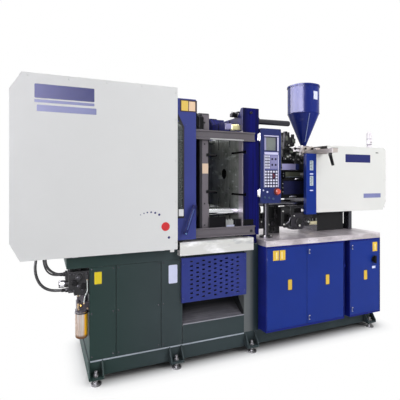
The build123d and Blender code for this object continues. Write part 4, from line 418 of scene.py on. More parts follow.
black_plastic = plastic("black_plastic", (11, 11, 13), 0.42, 0.15, 600.0, 0.12)
handle_plastic = plastic("handle_dark_blue", (10, 22, 88), 0.42, 0.15, 600.0)
# Lighter blue that paints the highlight along the gate handle.
handle_highlight = plastic("handle_painted_highlight", (58, 78, 136), 0.38, 0.15, 600.0)
handle_bolt = plastic("handle_bolt_blue", (112, 150, 196), 0.36, 0.15, 600.0)
device_grey = plastic("device_plastic", (196, 198, 196), 0.45, 0.15, 600.0)
device_dark = plastic("device_dark_plastic", (52, 56, 60), 0.45, 0.15, 600.0)
red_plastic = plastic("stop_button_red", (198, 84, 66), 0.34)
pale_plastic = plastic("panel_face_lilac", (84, 88, 138), 0.42, 0.08)
strip_lilac = plastic("panel_border_strip", (196, 194, 226), 0.40)
collar_red = plastic("stop_collar_maroon", (96, 34, 44), 0.40)
brown_frame = plastic("plate_border_brown", (60, 44, 50), 0.45)
key_plastic = plastic("key_pads", (214, 214, 232), 0.36)
dark_key = plastic("dark_keys", (30, 30, 62), 0.38)
field_lilac = plastic("key_field_lilac", (132, 130, 172))
teal_plastic = plastic("small_switch_slate", (50, 74, 110), 0.40)
gate_amber = plastic("gate_amber_plate", (224, 190, 92), 0.45, 0.05)
amber_label = plastic("amber_plate", (222, 184, 62), 0.42, 0.05)
golden_label = plastic("golden_plate", (216, 178, 66), 0.45, 0.05)
pale_gold = plastic("pale_gold_field", (234, 214, 150), 0.45, 0.05)
yellow_label = plastic("yellow_plate", (224, 200, 20), 0.38, 0.05)
post_plate = plastic("post_plate_grey", (176, 188, 194), 0.42, 0.05)
peach_label = plastic("peach_plate", (232, 200, 168), 0.42, 0.05)
tan_label = plastic("tan_plate", (214, 188, 164), 0.45, 0.05)
white_label = plastic("white_plate", (206, 210, 236), 0.36, 0.05)
navy_mark = plastic("navy_bar_print", (28, 34, 96), 0.45, 0.04)
line_mark = plastic("thin_bar_print", (120, 124, 168), 0.45, 0.04)
red_mark = plastic("red_dot_print", (200, 40, 44), 0.45, 0.04)
sight_glass = plastic("sight_strip", (128, 142, 182), 0.30, 0.04)
seal_rubber = plastic("seal_rubber", (18, 18, 18), 0.6, 0.2, 700.0)
beacon_body = plastic("beacon_pale_lens", (228, 222, 228), 0.25, 0.05, 500.0)


def rubber_hose(name, rgb, rough=0.38):
    s = Surface(name, rgb, rough)
    s.mottle(0.15, 30.0).rough_noise(0.08, 40.0)
    return s.bump(s.noise(700.0, 4), 0.25, 0.0004).material


def window_material():
    """Clear sheet with a faint unevenness."""
    s = Surface("window_polycarbonate", (226, 236, 234), 0.06)
    s.clear(1.2, 0.95).rough_noise(0.015, 30.0)
    return s.bump(s.noise(60.0, 2), 0.03, 0.0005).material


def bowl_material():
    """Clear bowl: beige and streaky on its left, amber oil on its right, brown at its foot."""
    s = Surface("amber_bowl", (206, 184, 168), 0.2)
    s.clear(1.2, 0.22)
    s.blend(s.streaks((130.0, 130.0, 5.0), 0.42, 0.58), (226, 222, 220))
    s.blend(s.region("X", -1.385, -1.375), (170, 136, 110))
    s.blend(s.region("X", -1.322, -1.334), (238, 178, 26))
    s.blend(s.region("X", -1.304, -1.312), (226, 196, 92))
    s.blend(s.region("Z", 0.346, 0.362), (128, 92, 66))
    s.rough_noise(0.03, 30.0)
    return s.bump(s.noise(60.0, 2), 0.05, 0.0006).material


def screen_material():
    """Dull screen glass: grey-green, with painted reflections, pale lilac along its left side and dark along
    its right.
    """
    s = Surface("screen_glass", (98, 104, 104), 0.30, gloss=0.3)
    s.blend(s.span(s.noise(9.0, 2), 0.40, 0.62), (116, 122, 118))
    # Painted reflection: pale lilac along the left side.
    s.blend(s.region("X", 0.232, 0.244), (150, 148, 186))
    # Painted reflection: darker along the right side.
    s.blend(s.region("X", 0.350, 0.330), (58, 48, 84))
    return s.rough_noise(0.04, 40.0).material


hose_black = rubber_hose("hose_rubber", (20, 20, 21))
tube_pale = rubber_hose("pale_nylon_tube", (206, 212, 208), 0.3)
window_clear = window_material()
amber_bowl = bowl_material()
screen_glass = screen_material()

node_groups = (
    (slate_paint, "bottom_frame clamp_base_body clamp_bed base_panels"),
    (foot_steel, "levelling_feet"),
    (chute_steel, "parts_chute"),
    (guard_blue, "slotted_guard"),
    (stainless, "mould_ledge"),
    (navy_paint, "fixed_platen"),
    (cast_green, "rear_platen"),
    (tie_steel, "tie_bars"),
    (white_paint, "cover_front cover_rear cover_hood"),
    (rail_paint, "gate_rails"),
    (dark_bar, "guard_bar"),
    (shell_blue, "injection_cabinet"),
    (worktop_steel, "worktop"),
    (plain_grey, "pump_motor"),
    (device_grey, "control_plate"),
    (rod_steel, "guide_rods"),
    (dark_steel, "panel_post"),
    (cast_black, "valve_block valve_manifold ejector_cylinder screw_drive"),
    (cast_black, "injection_carriage injection_cylinders"),
    (pump_grey, "lube_pump"),
    (amber_bowl, "oil_reservoir"),
    (moving_paint, "moving_platen"),
    (chrome_bar, "clamp_ram screw"),
    (ground_steel, "ejector_plate barrel nozzle"),
    (gate_blue, "front_gate rear_gate"),
    (window_clear, "gate_window"),
    (handle_plastic, "gate_handle"),
    (door_blue, "cabinet_door_left cabinet_door_middle cabinet_door_right guard_post"),
    (black_plastic, "main_switch hopper_shutter hopper_lock_lever"),
    (band_steel, "heater_bands"),
    (cream_paint, "injection_cover"),
    (beacon_body, "beacon_lamp"),
    (slide_steel, "hopper_slide_rail hopper_slide_block"),
    (hopper_paint, "hopper hopper_lid"),
    (panel_blue, "control_panel"),
    (red_plastic, "emergency_stop"),
)
for material, node_names in node_groups:
    for node_name in node_names.split():
        node_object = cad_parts[node_name]
        if not node_object.material_slots:
            node_object.data.materials.append(material)
        for slot in node_object.material_slots:
            slot.material = material
for cord_object in (long_hose, thin_hose, short_hose):
    cord_object.data.materials.append(hose_black)
lube_line.data.materials.append(tube_pale)


# Shapes: each function returns a list of solids, and a solid is a stack of equal rings of points
FRONT = (0, -1, 0)
BACK = (0, 1, 0)
LEFT = (-1, 0, 0)
RIGHT = (1, 0, 0)
UP = (0, 0, 1)
DOWN = (0, 0, -1)


def stack(rings, centre=(0, 0, 0), axis=UP, roll=0.0):
    """One solid from rings of (x, y, z) in mm, turned so that its z runs along the axis."""
    turn = Vector(axis).to_track_quat("Z", "Y").to_matrix().to_4x4()
    matrix = Matrix.Translation(Vector(centre) * MM) @ turn @ Matrix.Rotation(math.radians(roll), 4, "Z")
    return [[[matrix @ (Vector(p) * MM) for p in ring] for ring in rings]]


def free_stack(rings):
    """One solid from rings of (x, y, z) in mm that are already in place."""
    return [[[Vector(p) * MM for p in ring] for ring in rings]]


def around(count, radius, start=0.0):
    """Pairs of coordinates, evenly spaced on a circle."""
    angles = [math.radians(start + i * 360 / count) for i in range(count)]
    return [(radius * math.cos(a), radius * math.sin(a)) for a in angles]


def lathe(profile, centre, axis=FRONT, steps=24):
    """Turn (radius, height) pairs round the axis."""
    angles = [2 * math.pi * i / steps for i in range(steps)]
    rings = [[(r * math.cos(a), r * math.sin(a), h) for a in angles] for r, h in profile]
    return stack(rings, centre, axis)


def hexagon(across, height, centre, axis=FRONT, roll=0.0):
    """Hexagon head with a chamfered top."""
    profile = ((across * 0.577, 0), (across * 0.577, height * 0.82), (across * 0.5, height))
    angles = [math.pi * i / 3 for i in range(6)]
    rings = [[(r * math.cos(a), r * math.sin(a), z) for a in angles] for r, z in profile]
    return stack(rings, centre, axis, roll)


def bolt(size, centre, axis=FRONT, roll=0.0):
    """Washer and hexagon head."""
    washer = ((size * 1.05, 0), (size * 1.05, size * 0.14), (size * 0.98, size * 0.2))
    top = Vector(centre) + Vector(axis).normalized() * size * 0.2
    return lathe(washer, centre, axis, 16) + hexagon(size * 1.7, size * 0.65, top, axis, roll)


def cap_screw(size, centre, axis=FRONT):
    """Socket head: rim, sunk round recess and floor."""
    r = size * 0.8
    rim = ((r, 0), (r, size * 0.85), (r * 0.92, size), (r * 0.55, size))
    return lathe(rim + ((r * 0.52, size * 0.45), (0.05, size * 0.45)), centre, axis, 16)


def button(r, height, centre, axis=FRONT):
    """Low domed head with a round recess."""
    dome = ((r, 0), (r, height * 0.3), (r * 0.8, height * 0.8), (r * 0.4, height))
    return lathe(dome + ((r * 0.25, height * 0.7), (0.05, height * 0.7)), centre, axis, 16)


def round_corners(half_width, half_height, radius, count, middle=(0, 0)):
    """Points round a rectangle with rounded corners."""
    w, h = half_width - radius, half_height - radius
    points = []
    for cx, cy, start in ((w, h, 0), (-w, h, 90), (-w, -h, 180), (w, -h, 270)):
        for k in range(count):
            a = math.radians(start + k * 90 / (count - 1))
            points.append((middle[0] + cx + radius * math.cos(a), middle[1] + cy + radius * math.sin(a)))
    return points


def plate(size, centre, radius=3.0, edge=0.4, axis=FRONT, roll=0.0):
    """Rounded rectangle, width by height by thickness, with a small chamfer all round."""
    width, height, thick = size
    rings = []
    for inset, z in ((0, 0), (0, thick - edge), (edge, thick)):
        points = round_corners(width / 2 - inset, height / 2 - inset, max(0.2, radius - inset), 5)
        rings.append([(x, y, z) for x, y in points])
    return stack(rings, centre, axis, roll)


def in_order(order, values):
    """Three values given in the order of the axes, as (x, y, z)."""
    point = dict(zip(order, values))
    return (point["x"], point["y"], point["z"])


def box(x0, x1, y0, y1, z0, z1, radius=3.0, axis="z"):
    """A block with corners rounded round one axis and chamfered ends, from its faces."""
    spans = {"x": (x0, x1), "y": (y0, y1), "z": (z0, z1)}
    order = {"z": "xyz", "y": "zxy", "x": "yzx"}[axis]
    a, b, c = (spans[k] for k in order)
    w, h, length = a[1] - a[0], b[1] - b[0], c[1] - c[0]
    r = min(radius, w / 2.01, h / 2.01)
    edge = min(1.5, length / 4, r * 0.6)
    rings = []
    for inset, t in ((edge, c[0]), (0, c[0] + edge), (0, c[1] - edge), (edge, c[1])):
        middle = (sum(a) / 2, sum(b) / 2)
        points = round_corners(w / 2 - inset, h / 2 - inset, max(0.1, r - inset), 4, middle)
        rings.append([in_order(order, (u, v, t)) for u, v in points])
    return free_stack(rings)


def tube(points, diameter, steps=12):
    """A bent rigid pipe through the points, with mitred corners."""
    centres = [Vector(p) for p in points]
    rings = []
    side = None
    for i, p in enumerate(centres):
        before = (p - centres[i - 1]).normalized() if i else (centres[1] - p).normalized()
        after = (centres[i + 1] - p).normalized() if i < len(centres) - 1 else before
        along = (before + after).normalized()
        if side is None:
            side = along.orthogonal().normalized()
        side = (side - along * side.dot(along)).normalized()
        up = along.cross(side)
        stretch = 1 / max(0.5, before.dot(along)) if 0 < i < len(centres) - 1 else 1
        ring = []
        for k in range(steps):
            a = 2 * math.pi * k / steps
            offset = side * math.cos(a) + up * math.sin(a)
            ring.append(p + offset * diameter / 2 * stretch)
        rings.append(ring)
    return free_stack(rings)


def prism(outline, low, high, axis, edge=0.6):
    """An outline in two axes, drawn out along the third, with small end chamfers."""
    centre = Vector((sum(p[0] for p in outline), sum(p[1] for p in outline))) / len(outline)
    order = {"x": "yzx", "y": "xzy", "z": "xyz"}[axis]
    rings = []
    for inset, t in ((edge, low), (0, low + edge), (0, high - edge), (edge, high)):
        ring = []
        for v in (Vector(p) for p in outline):
            toward = (centre - v).normalized() * inset
            ring.append(in_order(order, (v.x + toward.x, v.y + toward.y, t)))
        rings.append(ring)
    return free_stack(rings)


def show(mesh, body, name, material, sharp=32):
    """Turn gathered faces into a piece that rides on a body; edges over the sharp angle stay crisp."""
    bmesh.ops.recalc_face_normals(mesh, faces=mesh.faces)
    data = bpy.data.meshes.new(name)
    mesh.to_mesh(data)
    mesh.free()
    obj = bpy.data.objects.new(name, data)
    bpy.context.collection.objects.link(obj)
    data.materials.append(material)
    if sharp:
        for polygon in data.polygons:
            polygon.use_smooth = True
        data.set_sharp_from_angle(angle=math.radians(sharp))
    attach(obj, body)
    return obj


def detail(body, name, material, *shapes):
    """Skin every solid of the shapes, close its ends, and show them as one piece."""
    mesh = bmesh.new()
    for rings in sum(shapes, []):
        made = [[mesh.verts.new(p) for p in ring] for ring in rings]
        count = len(made[0])
        for low, high in zip(made, made[1:]):
            for i in range(count):
                j = (i + 1) % count
                mesh.faces.new((low[i], low[j], high[j], high[i]))
        mesh.faces.new(list(reversed(made[0])))
        mesh.faces.new(made[-1])
    return show(mesh, body, name, material)


on_base = partial(detail, "base")
on_gate = partial(detail, "front_gate_body")
on_platen = partial(detail, "platen")
on_carriage = partial(detail, "carriage")
on_hopper = partial(detail, "hopper_slide")
on_panel = partial(detail, "panel")

# Planes and axes that carry details, in mm: front faces, the fixed platen's back, hopper and barrel
cover_face = -455
gate_face = -418
grip_face = -464
moving_face = -351.2
base_face = -368
door_face = -494
unit_face = -263
post_face = -268
panel_face = -378
panel_back = -318
key_face = -376.4
plate_face = -375.4
worktop_top = 970
platen_back = 163
hopper_x = 947
barrel_z = 1555

# Clamp cover: fasteners, a folded tab below its corner, and plain printed bars
on_base(
    "cover_screws_front", white_paint,
    *[button(7, 4, (-650, cover_face, z)) for z in (1010, 1330, 1650, 1970, 2180)],
    *[button(7, 4, (x, cover_face, 2205)) for x in (-1700, -1440, -1180, -920)],
)
on_base(
    "cover_screws_rear", zinc,
    *[button(7, 4, (-650, -cover_face, z), BACK) for z in (1010, 1330, 1650, 1970, 2180)],
    *[button(7, 4, (x, -cover_face, 2205), BACK) for x in (-1700, -1440, -1180, -920)],
)
on_base("cover_tab", white_paint, box(-697, -664, -454, -449, 936, 955.5, 3, "y"))
on_base("cover_bars", navy_mark, plate((392, 96, 0.5), (-1464, cover_face, 2104), 6, 0.2))
on_base(
    "cover_line_bars", line_mark,
    plate((392, 20, 0.5), (-1464, cover_face, 2036), 3, 0.2),
    plate((392, 44, 0.5), (-1450, cover_face, 1988), 4, 0.2),
)
on_base(
    "cover_arc_dots", navy_mark,
    *[
        lathe(((r, 0), (r, 0.3), (r - 0.2, 0.5)), (x, cover_face, z), steps=20)
        for x, z, r in (
            (-932, 1236, 4), (-906, 1246, 5), (-880, 1252, 6),
            (-850, 1253, 7), (-818, 1247, 8), (-786, 1232, 9),
        )
    ],
    lathe(((10, 0), (10, 0.3), (9.8, 0.5)), (-708, cover_face, 1052)),
)
on_base("cover_dot", red_mark, lathe(((34, 0), (34, 0.3), (33.7, 0.5)), (-735, cover_face, 1138), steps=40))

# Front gate: plates, window frame, screws, and the roller bracket on its leading edge
on_gate("gate_plate_frame", brown_frame, plate((146, 96, 1.2), (-530, gate_face, 2093), 3, 0.4))
on_gate("gate_plate_amber", gate_amber, plate((58, 80, 1.0), (-563, -419.2, 2093), 2, 0.3))
on_gate("gate_plate_peach", peach_label, plate((54, 76, 1.0), (-500, -419.2, 2092), 2, 0.3))
on_gate("gate_catch", white_paint, box(-620, -578, -434, -422.4, 1211, 1266, 3, "y"))


def window_points(grow):
    """The window's six corners, as (x, z), moved outward."""
    x0, x1 = -1075 - grow, -578 + grow
    z0, z1 = 1203 - grow, 2030 + grow
    return [(x0, z0), (x1, z0), (x1, z1 - 116), (x1 - 60, z1), (x0 + 60, z1), (x0, z1 - 116)]


def window_frame(name, grow_out, grow_in, y_low, y_high, material):
    """A six-sided frame round the window, as four closed strips of faces."""
    mesh = bmesh.new()
    outer, inner = window_points(grow_out), window_points(grow_in)
    rings = []
    for points, y in ((outer, y_high), (outer, y_low), (inner, y_low), (inner, y_high)):
        rings.append([mesh.verts.new(Vector((x, y, z)) * MM) for x, z in points])
    for a, b in zip(rings, rings[1:] + rings[:1]):
        for i in range(6):
            j = (i + 1) % 6
            mesh.faces.new((a[i], a[j], b[j], b[i]))
    obj = show(mesh, "front_gate_body", name, material, sharp=None)
    bevel = obj.modifiers.new("edge", "BEVEL")
    bevel.width = 0.0012
    bevel.segments = 2


window_frame("gate_window_seal", 10, -4, -422, -417.9, seal_rubber)
on_gate("gate_screws", gate_blue, *[button(6, 3.5, (x, gate_face, z)) for x, z in window_points(26)])
on_gate("handle_bolts", handle_bolt, cap_screw(8, (-569, grip_face, 1074)))
on_gate("handle_top_bolt", handle_plastic, cap_screw(8, (-492, grip_face, 1288)))
on_gate(
    "gate_roller_bracket", black_paint,
    prism([(-465, 1962), (-453, 1974), (-453, 2040), (-465, 2052)], -415, -392, "y"),
)
detail("rear_gate_body", "rear_gate_trim", black_paint, box(-576, 106, 384.5, 388, 2130, 2149, 1, "x"))

# Raised face along the handle, in a lighter blue that paints the highlight down its middle
handle_start, handle_end = Vector((-569, 0, 1074)), Vector((-492, 0, 1288))
middle = handle_start.lerp(handle_end, 0.52)
tilt = math.degrees(math.atan2(handle_end.x - handle_start.x, handle_end.z - handle_start.z))
on_gate(
    "handle_face", handle_highlight,
    plate((9, 176, 1.2), (middle.x, grip_face, middle.z), 4.4, 0.5, roll=-tilt),
)

# Top rail and platen top: limit switch, blocks, oil distributor and terminal box
on_base(
    "limit_switch", black_plastic,
    box(-420, -378, -379, -357, 1914.5, 2020, 5), box(-446, -420, -375, -357, 1940, 2028, 11, "y"),
    box(-400, -384, -372, -357, 2018, 2032, 4),
)
on_base("rail_switch_plate", rail_paint, box(-470, -372, -383, -357, 1914.1, 1918, 2))
on_base(
    "platen_top_block", black_paint,
    box(4, 56, -262, -196, 2060.3, 2100, 5), box(-50, 4, -258, -214, 2066, 2098, 6, "x"),
    box(12, 44, -250, -212, 2100, 2118, 4), box(-34, -8, -252, -226, 2098, 2108, 4),
)
on_base(
    "platen_top_bright", device_grey,
    box(8, 34, -270, -262, 2070, 2098, 3, "y"),
    lathe(((7, 0), (7, 10), (5, 14)), (44, -262, 2086), steps=20),
    lathe(((8, 0), (8, 12), (5, 16)), (-38, -236, 2098), UP, 20),
)
on_base(
    "oil_distributor", pale_brass,
    box(-84, -0.5, -322, -288, 1938, 1982, 4, "x"),
    *[hexagon(9, 7, (-72 + k * 19, -306, 1982), UP, 10 * k) for k in range(4)],
)
on_base("terminal_box", pale_lilac, box(-140, -84, -318, -292, 1942, 1992, 4, "x"))
# Painted highlight: a pale line along the rail's lower edge.
on_base("rail_highlight_strip", rail_glint_paint, box(-322, -2, -384, -383.1, 1838, 1848, 0.8, "x"))
on_base("platen_low_plate", black_paint, box(2, 108, -366.2, -365.1, 1100, 1152, 2, "y"))

# Mould space: boxes under the front tie bar, seen through the opening
on_base(
    "mould_space_boxes", black_paint,
    box(-322, -168, -364.8, -355.6, 1074, 1184, 4, "y"), box(-61, -2, -338, -294, 1054, 1152, 5),
    box(-44, -16, -326, -304, 960.5, 1054, 3), box(-141, -61, -326, -312, 1056, 1066, 2, "x"),
)
on_base(
    "mould_space_comb", device_grey,
    *[box(-141 + k * 12, -134 + k * 12, -326, -312, 1066, 1156 - (k % 2) * 12, 1.5) for k in range(6)],
)
on_base("mould_space_tag", white_label, plate((78, 44, 1.2), (-101, -326, 1084), 3, 0.4))

# Fixed platen: bolts on its back and its front edge, and hinge pins
on_base(
    "platen_bolts_back", dark_steel,
    *[cap_screw(16, (platen_back, y, z), RIGHT) for y in (-150, 150) for z in (1490, 1620)],
    *[cap_screw(12, (platen_back, u, barrel_z + v), RIGHT) for u, v in around(8, 96, 22.5)],
)
on_base("platen_bolts_front", dark_steel, *[cap_screw(14, (80, -365, z)) for z in (2090, 1050)])
on_base(
    "platen_hinge_pins", zinc,
    *[
        lathe(((7, 0), (8, 2), (8, 70), (7, 72)), (171, -369, z - 36), UP, 20)
        + box(150, 171, -368, -365, z - 30, z + 30, 2, "y")
        for z in (1380, 1880)
    ],
)

# Moving platen: edge plate, tag, screws and mould clamps
on_platen("moving_platen_strip", strip_grey, plate((62, 1002, 1.2), (-350.5, -350, 1544), 2, 0.4))
on_platen("moving_platen_tag", tan_label, plate((58, 84, 1.0), (-352, moving_face, 1594), 2, 0.3))
on_platen(
    "moving_platen_screws", dark_steel,
    *[button(8, 3, (-360, moving_face, z)) for z in (1120, 1300, 1800, 1980)],
)
on_platen(
    "mould_clamps", black_plastic,
    plate((8, 540, 1.6), (-322.8, moving_face, 1565), 2, 0.4),
    *[
        box(-318, -250, -346, -332, z - 9, z + 9, 3, "x")
        + box(-345, -328, -357, -351.3, z - 13, z + 13, 3, "y")
        for z in (1709, 1400)
    ],
)

# Tie bar nuts: screws at the injection side
on_base(
    "tie_nut_screws", dark_steel,
    *[
        cap_screw(7, (221, y + u, z + v), RIGHT)
        for y in (-248, 248)
        for z in (1218, 1892)
        for u, v in around(6, 47, 30)
    ],
)

# Base: strips, plates, and the screws of panels, guard and ledge
# Painted highlight: a pale strip along the frame's top edge.
on_base("frame_top_strip", highlight_edge_paint, box(-1288, 8, -371, -368.1, 153, 164, 1, "x"))
# Painted highlight: a pale lip along the chute's front edge.
on_base("chute_lip", chute_edge_highlight, box(-560, 8, -371.5, -368.1, 317, 326, 1, "x"))
on_base("base_plate_border", device_dark, plate((60, 98, 0.8), (-1231, base_face, 771), 3, 0.3))
on_base("base_yellow_plate", yellow_label, plate((52, 90, 0.8), (-1231, -368.8, 771), 3, 0.3))
on_base("base_white_plate", white_label, plate((74, 148, 1.4), (-645, base_face, 741), 9, 0.5))
on_base(
    "base_panel_screws", dark_steel,
    *[
        button(6, 3, (x, base_face, z)) + button(6, 3, (x, -base_face, z), BACK)
        for x0, x1 in ((-1292, -1103), (-1095, -749), (-741, -565))
        for x in (x0 + 16, x1 - 16)
        for z in (190, 510, 836)
    ],
)
on_base(
    "guard_screws", guard_blue,
    *[button(7, 4, (x, -388, z)) for x, z in ((-565, 815), (-565, 540), (10, 815), (10, 540))],
)
on_base("ledge_screws", zinc, *[button(6, 3, (x, -400, 1000), UP) for x in (-560, -250, 40)])

# Left end: fittings, solenoid coils and pump details
on_base(
    "hose_fittings", black_plastic,
    hexagon(30, 18, (-1438, -300, 690), LEFT),
    lathe(((12.5, 0), (12.5, 26), (11, 28)), (-1456, -300, 690), LEFT, 20),
    hexagon(19, 12, (-1458, -280, 797), LEFT),
    lathe(((8, 0), (8, 18), (7, 20)), (-1470, -280, 797), LEFT, 18),
    hexagon(27, 15, (-1458, -315, 812), LEFT),
    lathe(((11.2, 0), (11.2, 22), (10.2, 24)), (-1473, -315, 812), LEFT, 20),
)
on_base(
    "solenoid_case", silver,
    lathe(((25.6, 0), (27, 1), (27, 30), (25.6, 31)), (-1464, -300, 736), LEFT, 32),
)
on_base(
    "valve_coils", black_plastic,
    box(-1416, -1380, -372, -350.2, 735, 768, 4, "y"), box(-1352, -1322, -366, -350.2, 700, 742, 4, "y"),
    box(-1430, -1400, -330, -270, 828.2, 852, 4),
    lathe(((14, 0), (14, 12), (10, 16)), (-1352, -300, 828), UP, 20),
)
on_base(
    "valve_plugs", dark_steel,
    *[cap_screw(8, (x, -350, z)) for x in (-1424, -1400, -1340, -1312) for z in (692, 812)],
    hexagon(26, 10, (-1368, -372, 788)), hexagon(22, 8, (-1368, -366, 724)),
)
on_base(
    "pump_details", pump_beige,
    hexagon(12, 8, (-1309, -359, 770), DOWN), hexagon(12, 8, (-1331, -360, 590), UP),
    lathe(((9, 0), (9, 16), (6, 20), (6, 30), (9, 31), (9, 36)), (-1366, -310, 635), UP, 18),
    box(-1379, -1366, -358, -352.2, 560, 596, 3, "y"),
    *[cap_screw(7, (x, -352, 552)) for x in (-1368, -1306)],
)
on_base(
    "pump_brass", brass,
    hexagon(14, 10, (-1352, -352, 580)), lathe(((5, 0), (5, 12), (3, 14)), (-1352, -362, 580), steps=14),
)
on_base(
    "reservoir_clamp", dark_steel,
    lathe(((48.5, 0), (49.5, 1), (49.5, 9), (48.5, 10)), (-1342, -310, 512), UP, 40),
)


# Cabinet: plates, tag, switch plate, hinge knuckles and latches
def plain_plate(name, body, material, size, x, z, lift=0.0):
    """A bare plate with rounded corners on a cabinet door."""
    width, height, radius = size
    detail(body, name, material, plate((width, height, 0.9), (x, door_face - lift, z), radius, 0.3))


gold_places = (("door_left", 404, 570), ("door_middle", 828, 572), ("door_right", 1304, 566))
for number, (body, x, z) in enumerate(gold_places):
    plain_plate("gold_plate_border_%d" % number, body, device_dark, (50, 100, 9), x, z)
    plain_plate("gold_plate_%d" % number, body, golden_label, (40, 90, 7), x, z, 0.9)
plain_plate("door_left_plate_a", "door_left", amber_label, (60, 86, 2), 256, 839)
plain_plate("door_left_plate_b", "door_left", amber_label, (60, 88, 2), 324, 838)
plain_plate("door_left_plate_a_field", "door_left", pale_gold, (14, 62, 2), 262, 838, 0.9)
plain_plate("door_left_plate_b_field", "door_left", pale_gold, (14, 62, 2), 318, 838, 0.9)
plain_plate("door_right_plate", "door_right", amber_label, (62, 92, 2), 1430, 834)
plain_plate("door_right_plate_field", "door_right", pale_gold, (16, 60, 2), 1432, 832, 0.9)
detail("door_right", "right_door_tag", white_label, plate((46, 24, 1.0), (1414, door_face, 632), 2, 0.3))
detail("door_right", "switch_plate", door_blue, plate((78, 104, 0.2), (1411, door_face, 712), 8, 0.05))
knuckle = ((8.4, 0), (9.2, 1.5), (9.2, 56), (8.4, 57.5))
for body, hinge_x in (("door_left", 170), ("door_middle", 1017), ("door_right", 1487)):
    knuckles = [lathe(knuckle, (hinge_x, -486, z - 28), UP) for z in (320, 790)]
    detail(body, body + "_hinges", door_blue, *knuckles)
for body, x in (("door_middle", 617), ("door_right", 1132)):
    detail(body, body + "_latches", zinc, *[plate((15, 42, 1.6), (x, -499, z), 5, 0.5) for z in (252, 849)])

# Worktop: trim screws and the bolts of the panel post's foot
on_base(
    "worktop_screws", zinc,
    *[
        button(6, 2.5, (x, -497, 946)) + button(6, 2.5, (x, 478, worktop_top), UP)
        for x in (240, 620, 1000, 1380)
    ],
    *[bolt(9, (285 + u, -292 + v, 984), UP, 15 * i) for i, (u, v) in enumerate(around(4, 47, 45))],
)

# Control panel: sunk face, screen bezel, keys, lamps and collar
on_panel("panel_face_plate", pale_plastic, plate((157, 324, 1.4), (289.5, -374, 1590), 4, 0.4))
on_panel(
    "panel_strips", strip_lilac,
    plate((156, 10, 3.4), (290, -374, 1894), 3, 0.8), plate((15, 126, 3.0), (360, -374, 1822), 3, 0.8),
    plate((148, 22, 1.6), (290, plate_face, 1737), 4, 0.6),
    plate((8, 294, 1.4), (364, plate_face, 1578), 3, 0.5),
    plate((5, 294, 1.2), (213, plate_face, 1578), 2, 0.4),
)
on_panel("panel_screen", screen_glass, plate((133, 128, 1.4), (281.5, -364, 1823), 3, 0.4))
on_panel(
    "panel_screen_mount", dark_key,
    *[plate((6, 128, 3.0), (x, -365.4, 1823), 1.5, 0.8) for x in (217.5, 345.5)],
    *[plate((122, 6, 3.0), (281.5, -365.4, z), 1.5, 0.8) for z in (1762, 1884)],
)
on_panel(
    "panel_key_fields", dark_key,
    plate((56, 122, 1.0), (245, plate_face, 1659), 3, 0.4),
    plate((142, 156, 1.0), (287, plate_face, 1508), 3, 0.4),
)
on_panel("panel_light_field", field_lilac, plate((78, 122, 1.0), (316, plate_face, 1659), 3, 0.4))
on_panel(
    "panel_round_keys", dark_key,
    *[
        lathe(((10.5, 0), (10.5, 1.6), (9, 2.6), (0.5, 2.8)), (x, key_face, z))
        for x in (297, 334)
        for z in (1686, 1634)
    ],
)
on_panel(
    "panel_light_keys", key_plastic,
    *[
        plate((9.5, 19, 1.5), (224 + column * 14, key_face, 1709 - row * 25), 2.5, 0.6)
        for row in range(5)
        for column in range(4)
    ],
    *[
        plate((19, 16, 1.5), (228 + column * 29, key_face, 1572 - row * 26), 3, 0.6)
        for row in range(6)
        for column in range(5)
        if column != 3 or row not in (1, 2)
    ],
)
on_panel(
    "panel_red_keys", collar_red,
    plate((15, 19, 1.6), (308, key_face, 1547), 3, 0.6), plate((15, 19, 1.6), (325, key_face, 1534), 3, 0.6),
    plate((10, 19, 1.6), (312, key_face, 1521), 3, 0.6),
)
on_panel(
    "panel_stop_collar", collar_red,
    lathe(((35, 0), (35, 2.5), (32, 4), (16, 4), (15, 2)), (348, panel_face, 1392), steps=36),
)
on_panel(
    "panel_lamps", white_label,
    *[
        lathe(((r, 0), (r, 3), (r - 2, 5), (r - 5, 6)), (x, panel_face, z), steps=20)
        for x, z, r in ((202, 1405, 7), (244, 1390, 8))
    ],
)
on_panel(
    "panel_small_switches", teal_plastic,
    *[
        lathe(((11, 0), (11, 1.5), (8, 2), (8, 7), (6, 8.5)), (x, panel_face, z))
        for x, z in ((218, 1340), (262, 1336), (307, 1326))
    ],
)
on_panel(
    "panel_screws", dark_steel,
    *[cap_screw(5, (x, panel_face, z)) for x, z in ((184, 1300), (379, 1300), (184, 1948), (379, 1948))],
    *[
        button(5, 3, (x, panel_back, z), BACK)
        for x, z in ((190, 1320), (373, 1320), (190, 1920), (373, 1920), (190, 1620), (373, 1620))
    ],
)
on_panel(
    "panel_back_vents", device_dark,
    *[plate((90, 6, 0.8), (285, panel_back, 1860 - k * 16), 3, 0.3, axis=BACK) for k in range(6)],
)
detail(
    "stop_button", "panel_stop_arrow_ring", red_plastic,
    lathe(((20, 0), (20, 1), (17, 1.6), (12, 1.6), (11, 0.6)), (348, -406.6, 1392), steps=32),
)

# Hopper: seam bead, rim, foot screws, sight strip and plate
on_hopper(
    "hopper_seams", hopper_paint,
    lathe(((164, 0), (166, 2), (166.5, 4), (166, 6), (164, 8)), (hopper_x, 0, 2192), UP, 64),
)
on_hopper(
    "hopper_rim", hopper_paint,
    lathe(((168, 0), (170, 1.5), (170, 6.5), (168, 8)), (hopper_x, 0, 2471), UP, 64),
)
on_hopper(
    "hopper_foot_screws", zinc,
    *[hexagon(9, 5, (hopper_x + u, v, 1854.3), UP, 12 * i) for i, (u, v) in enumerate(around(6, 46, 30))],
)


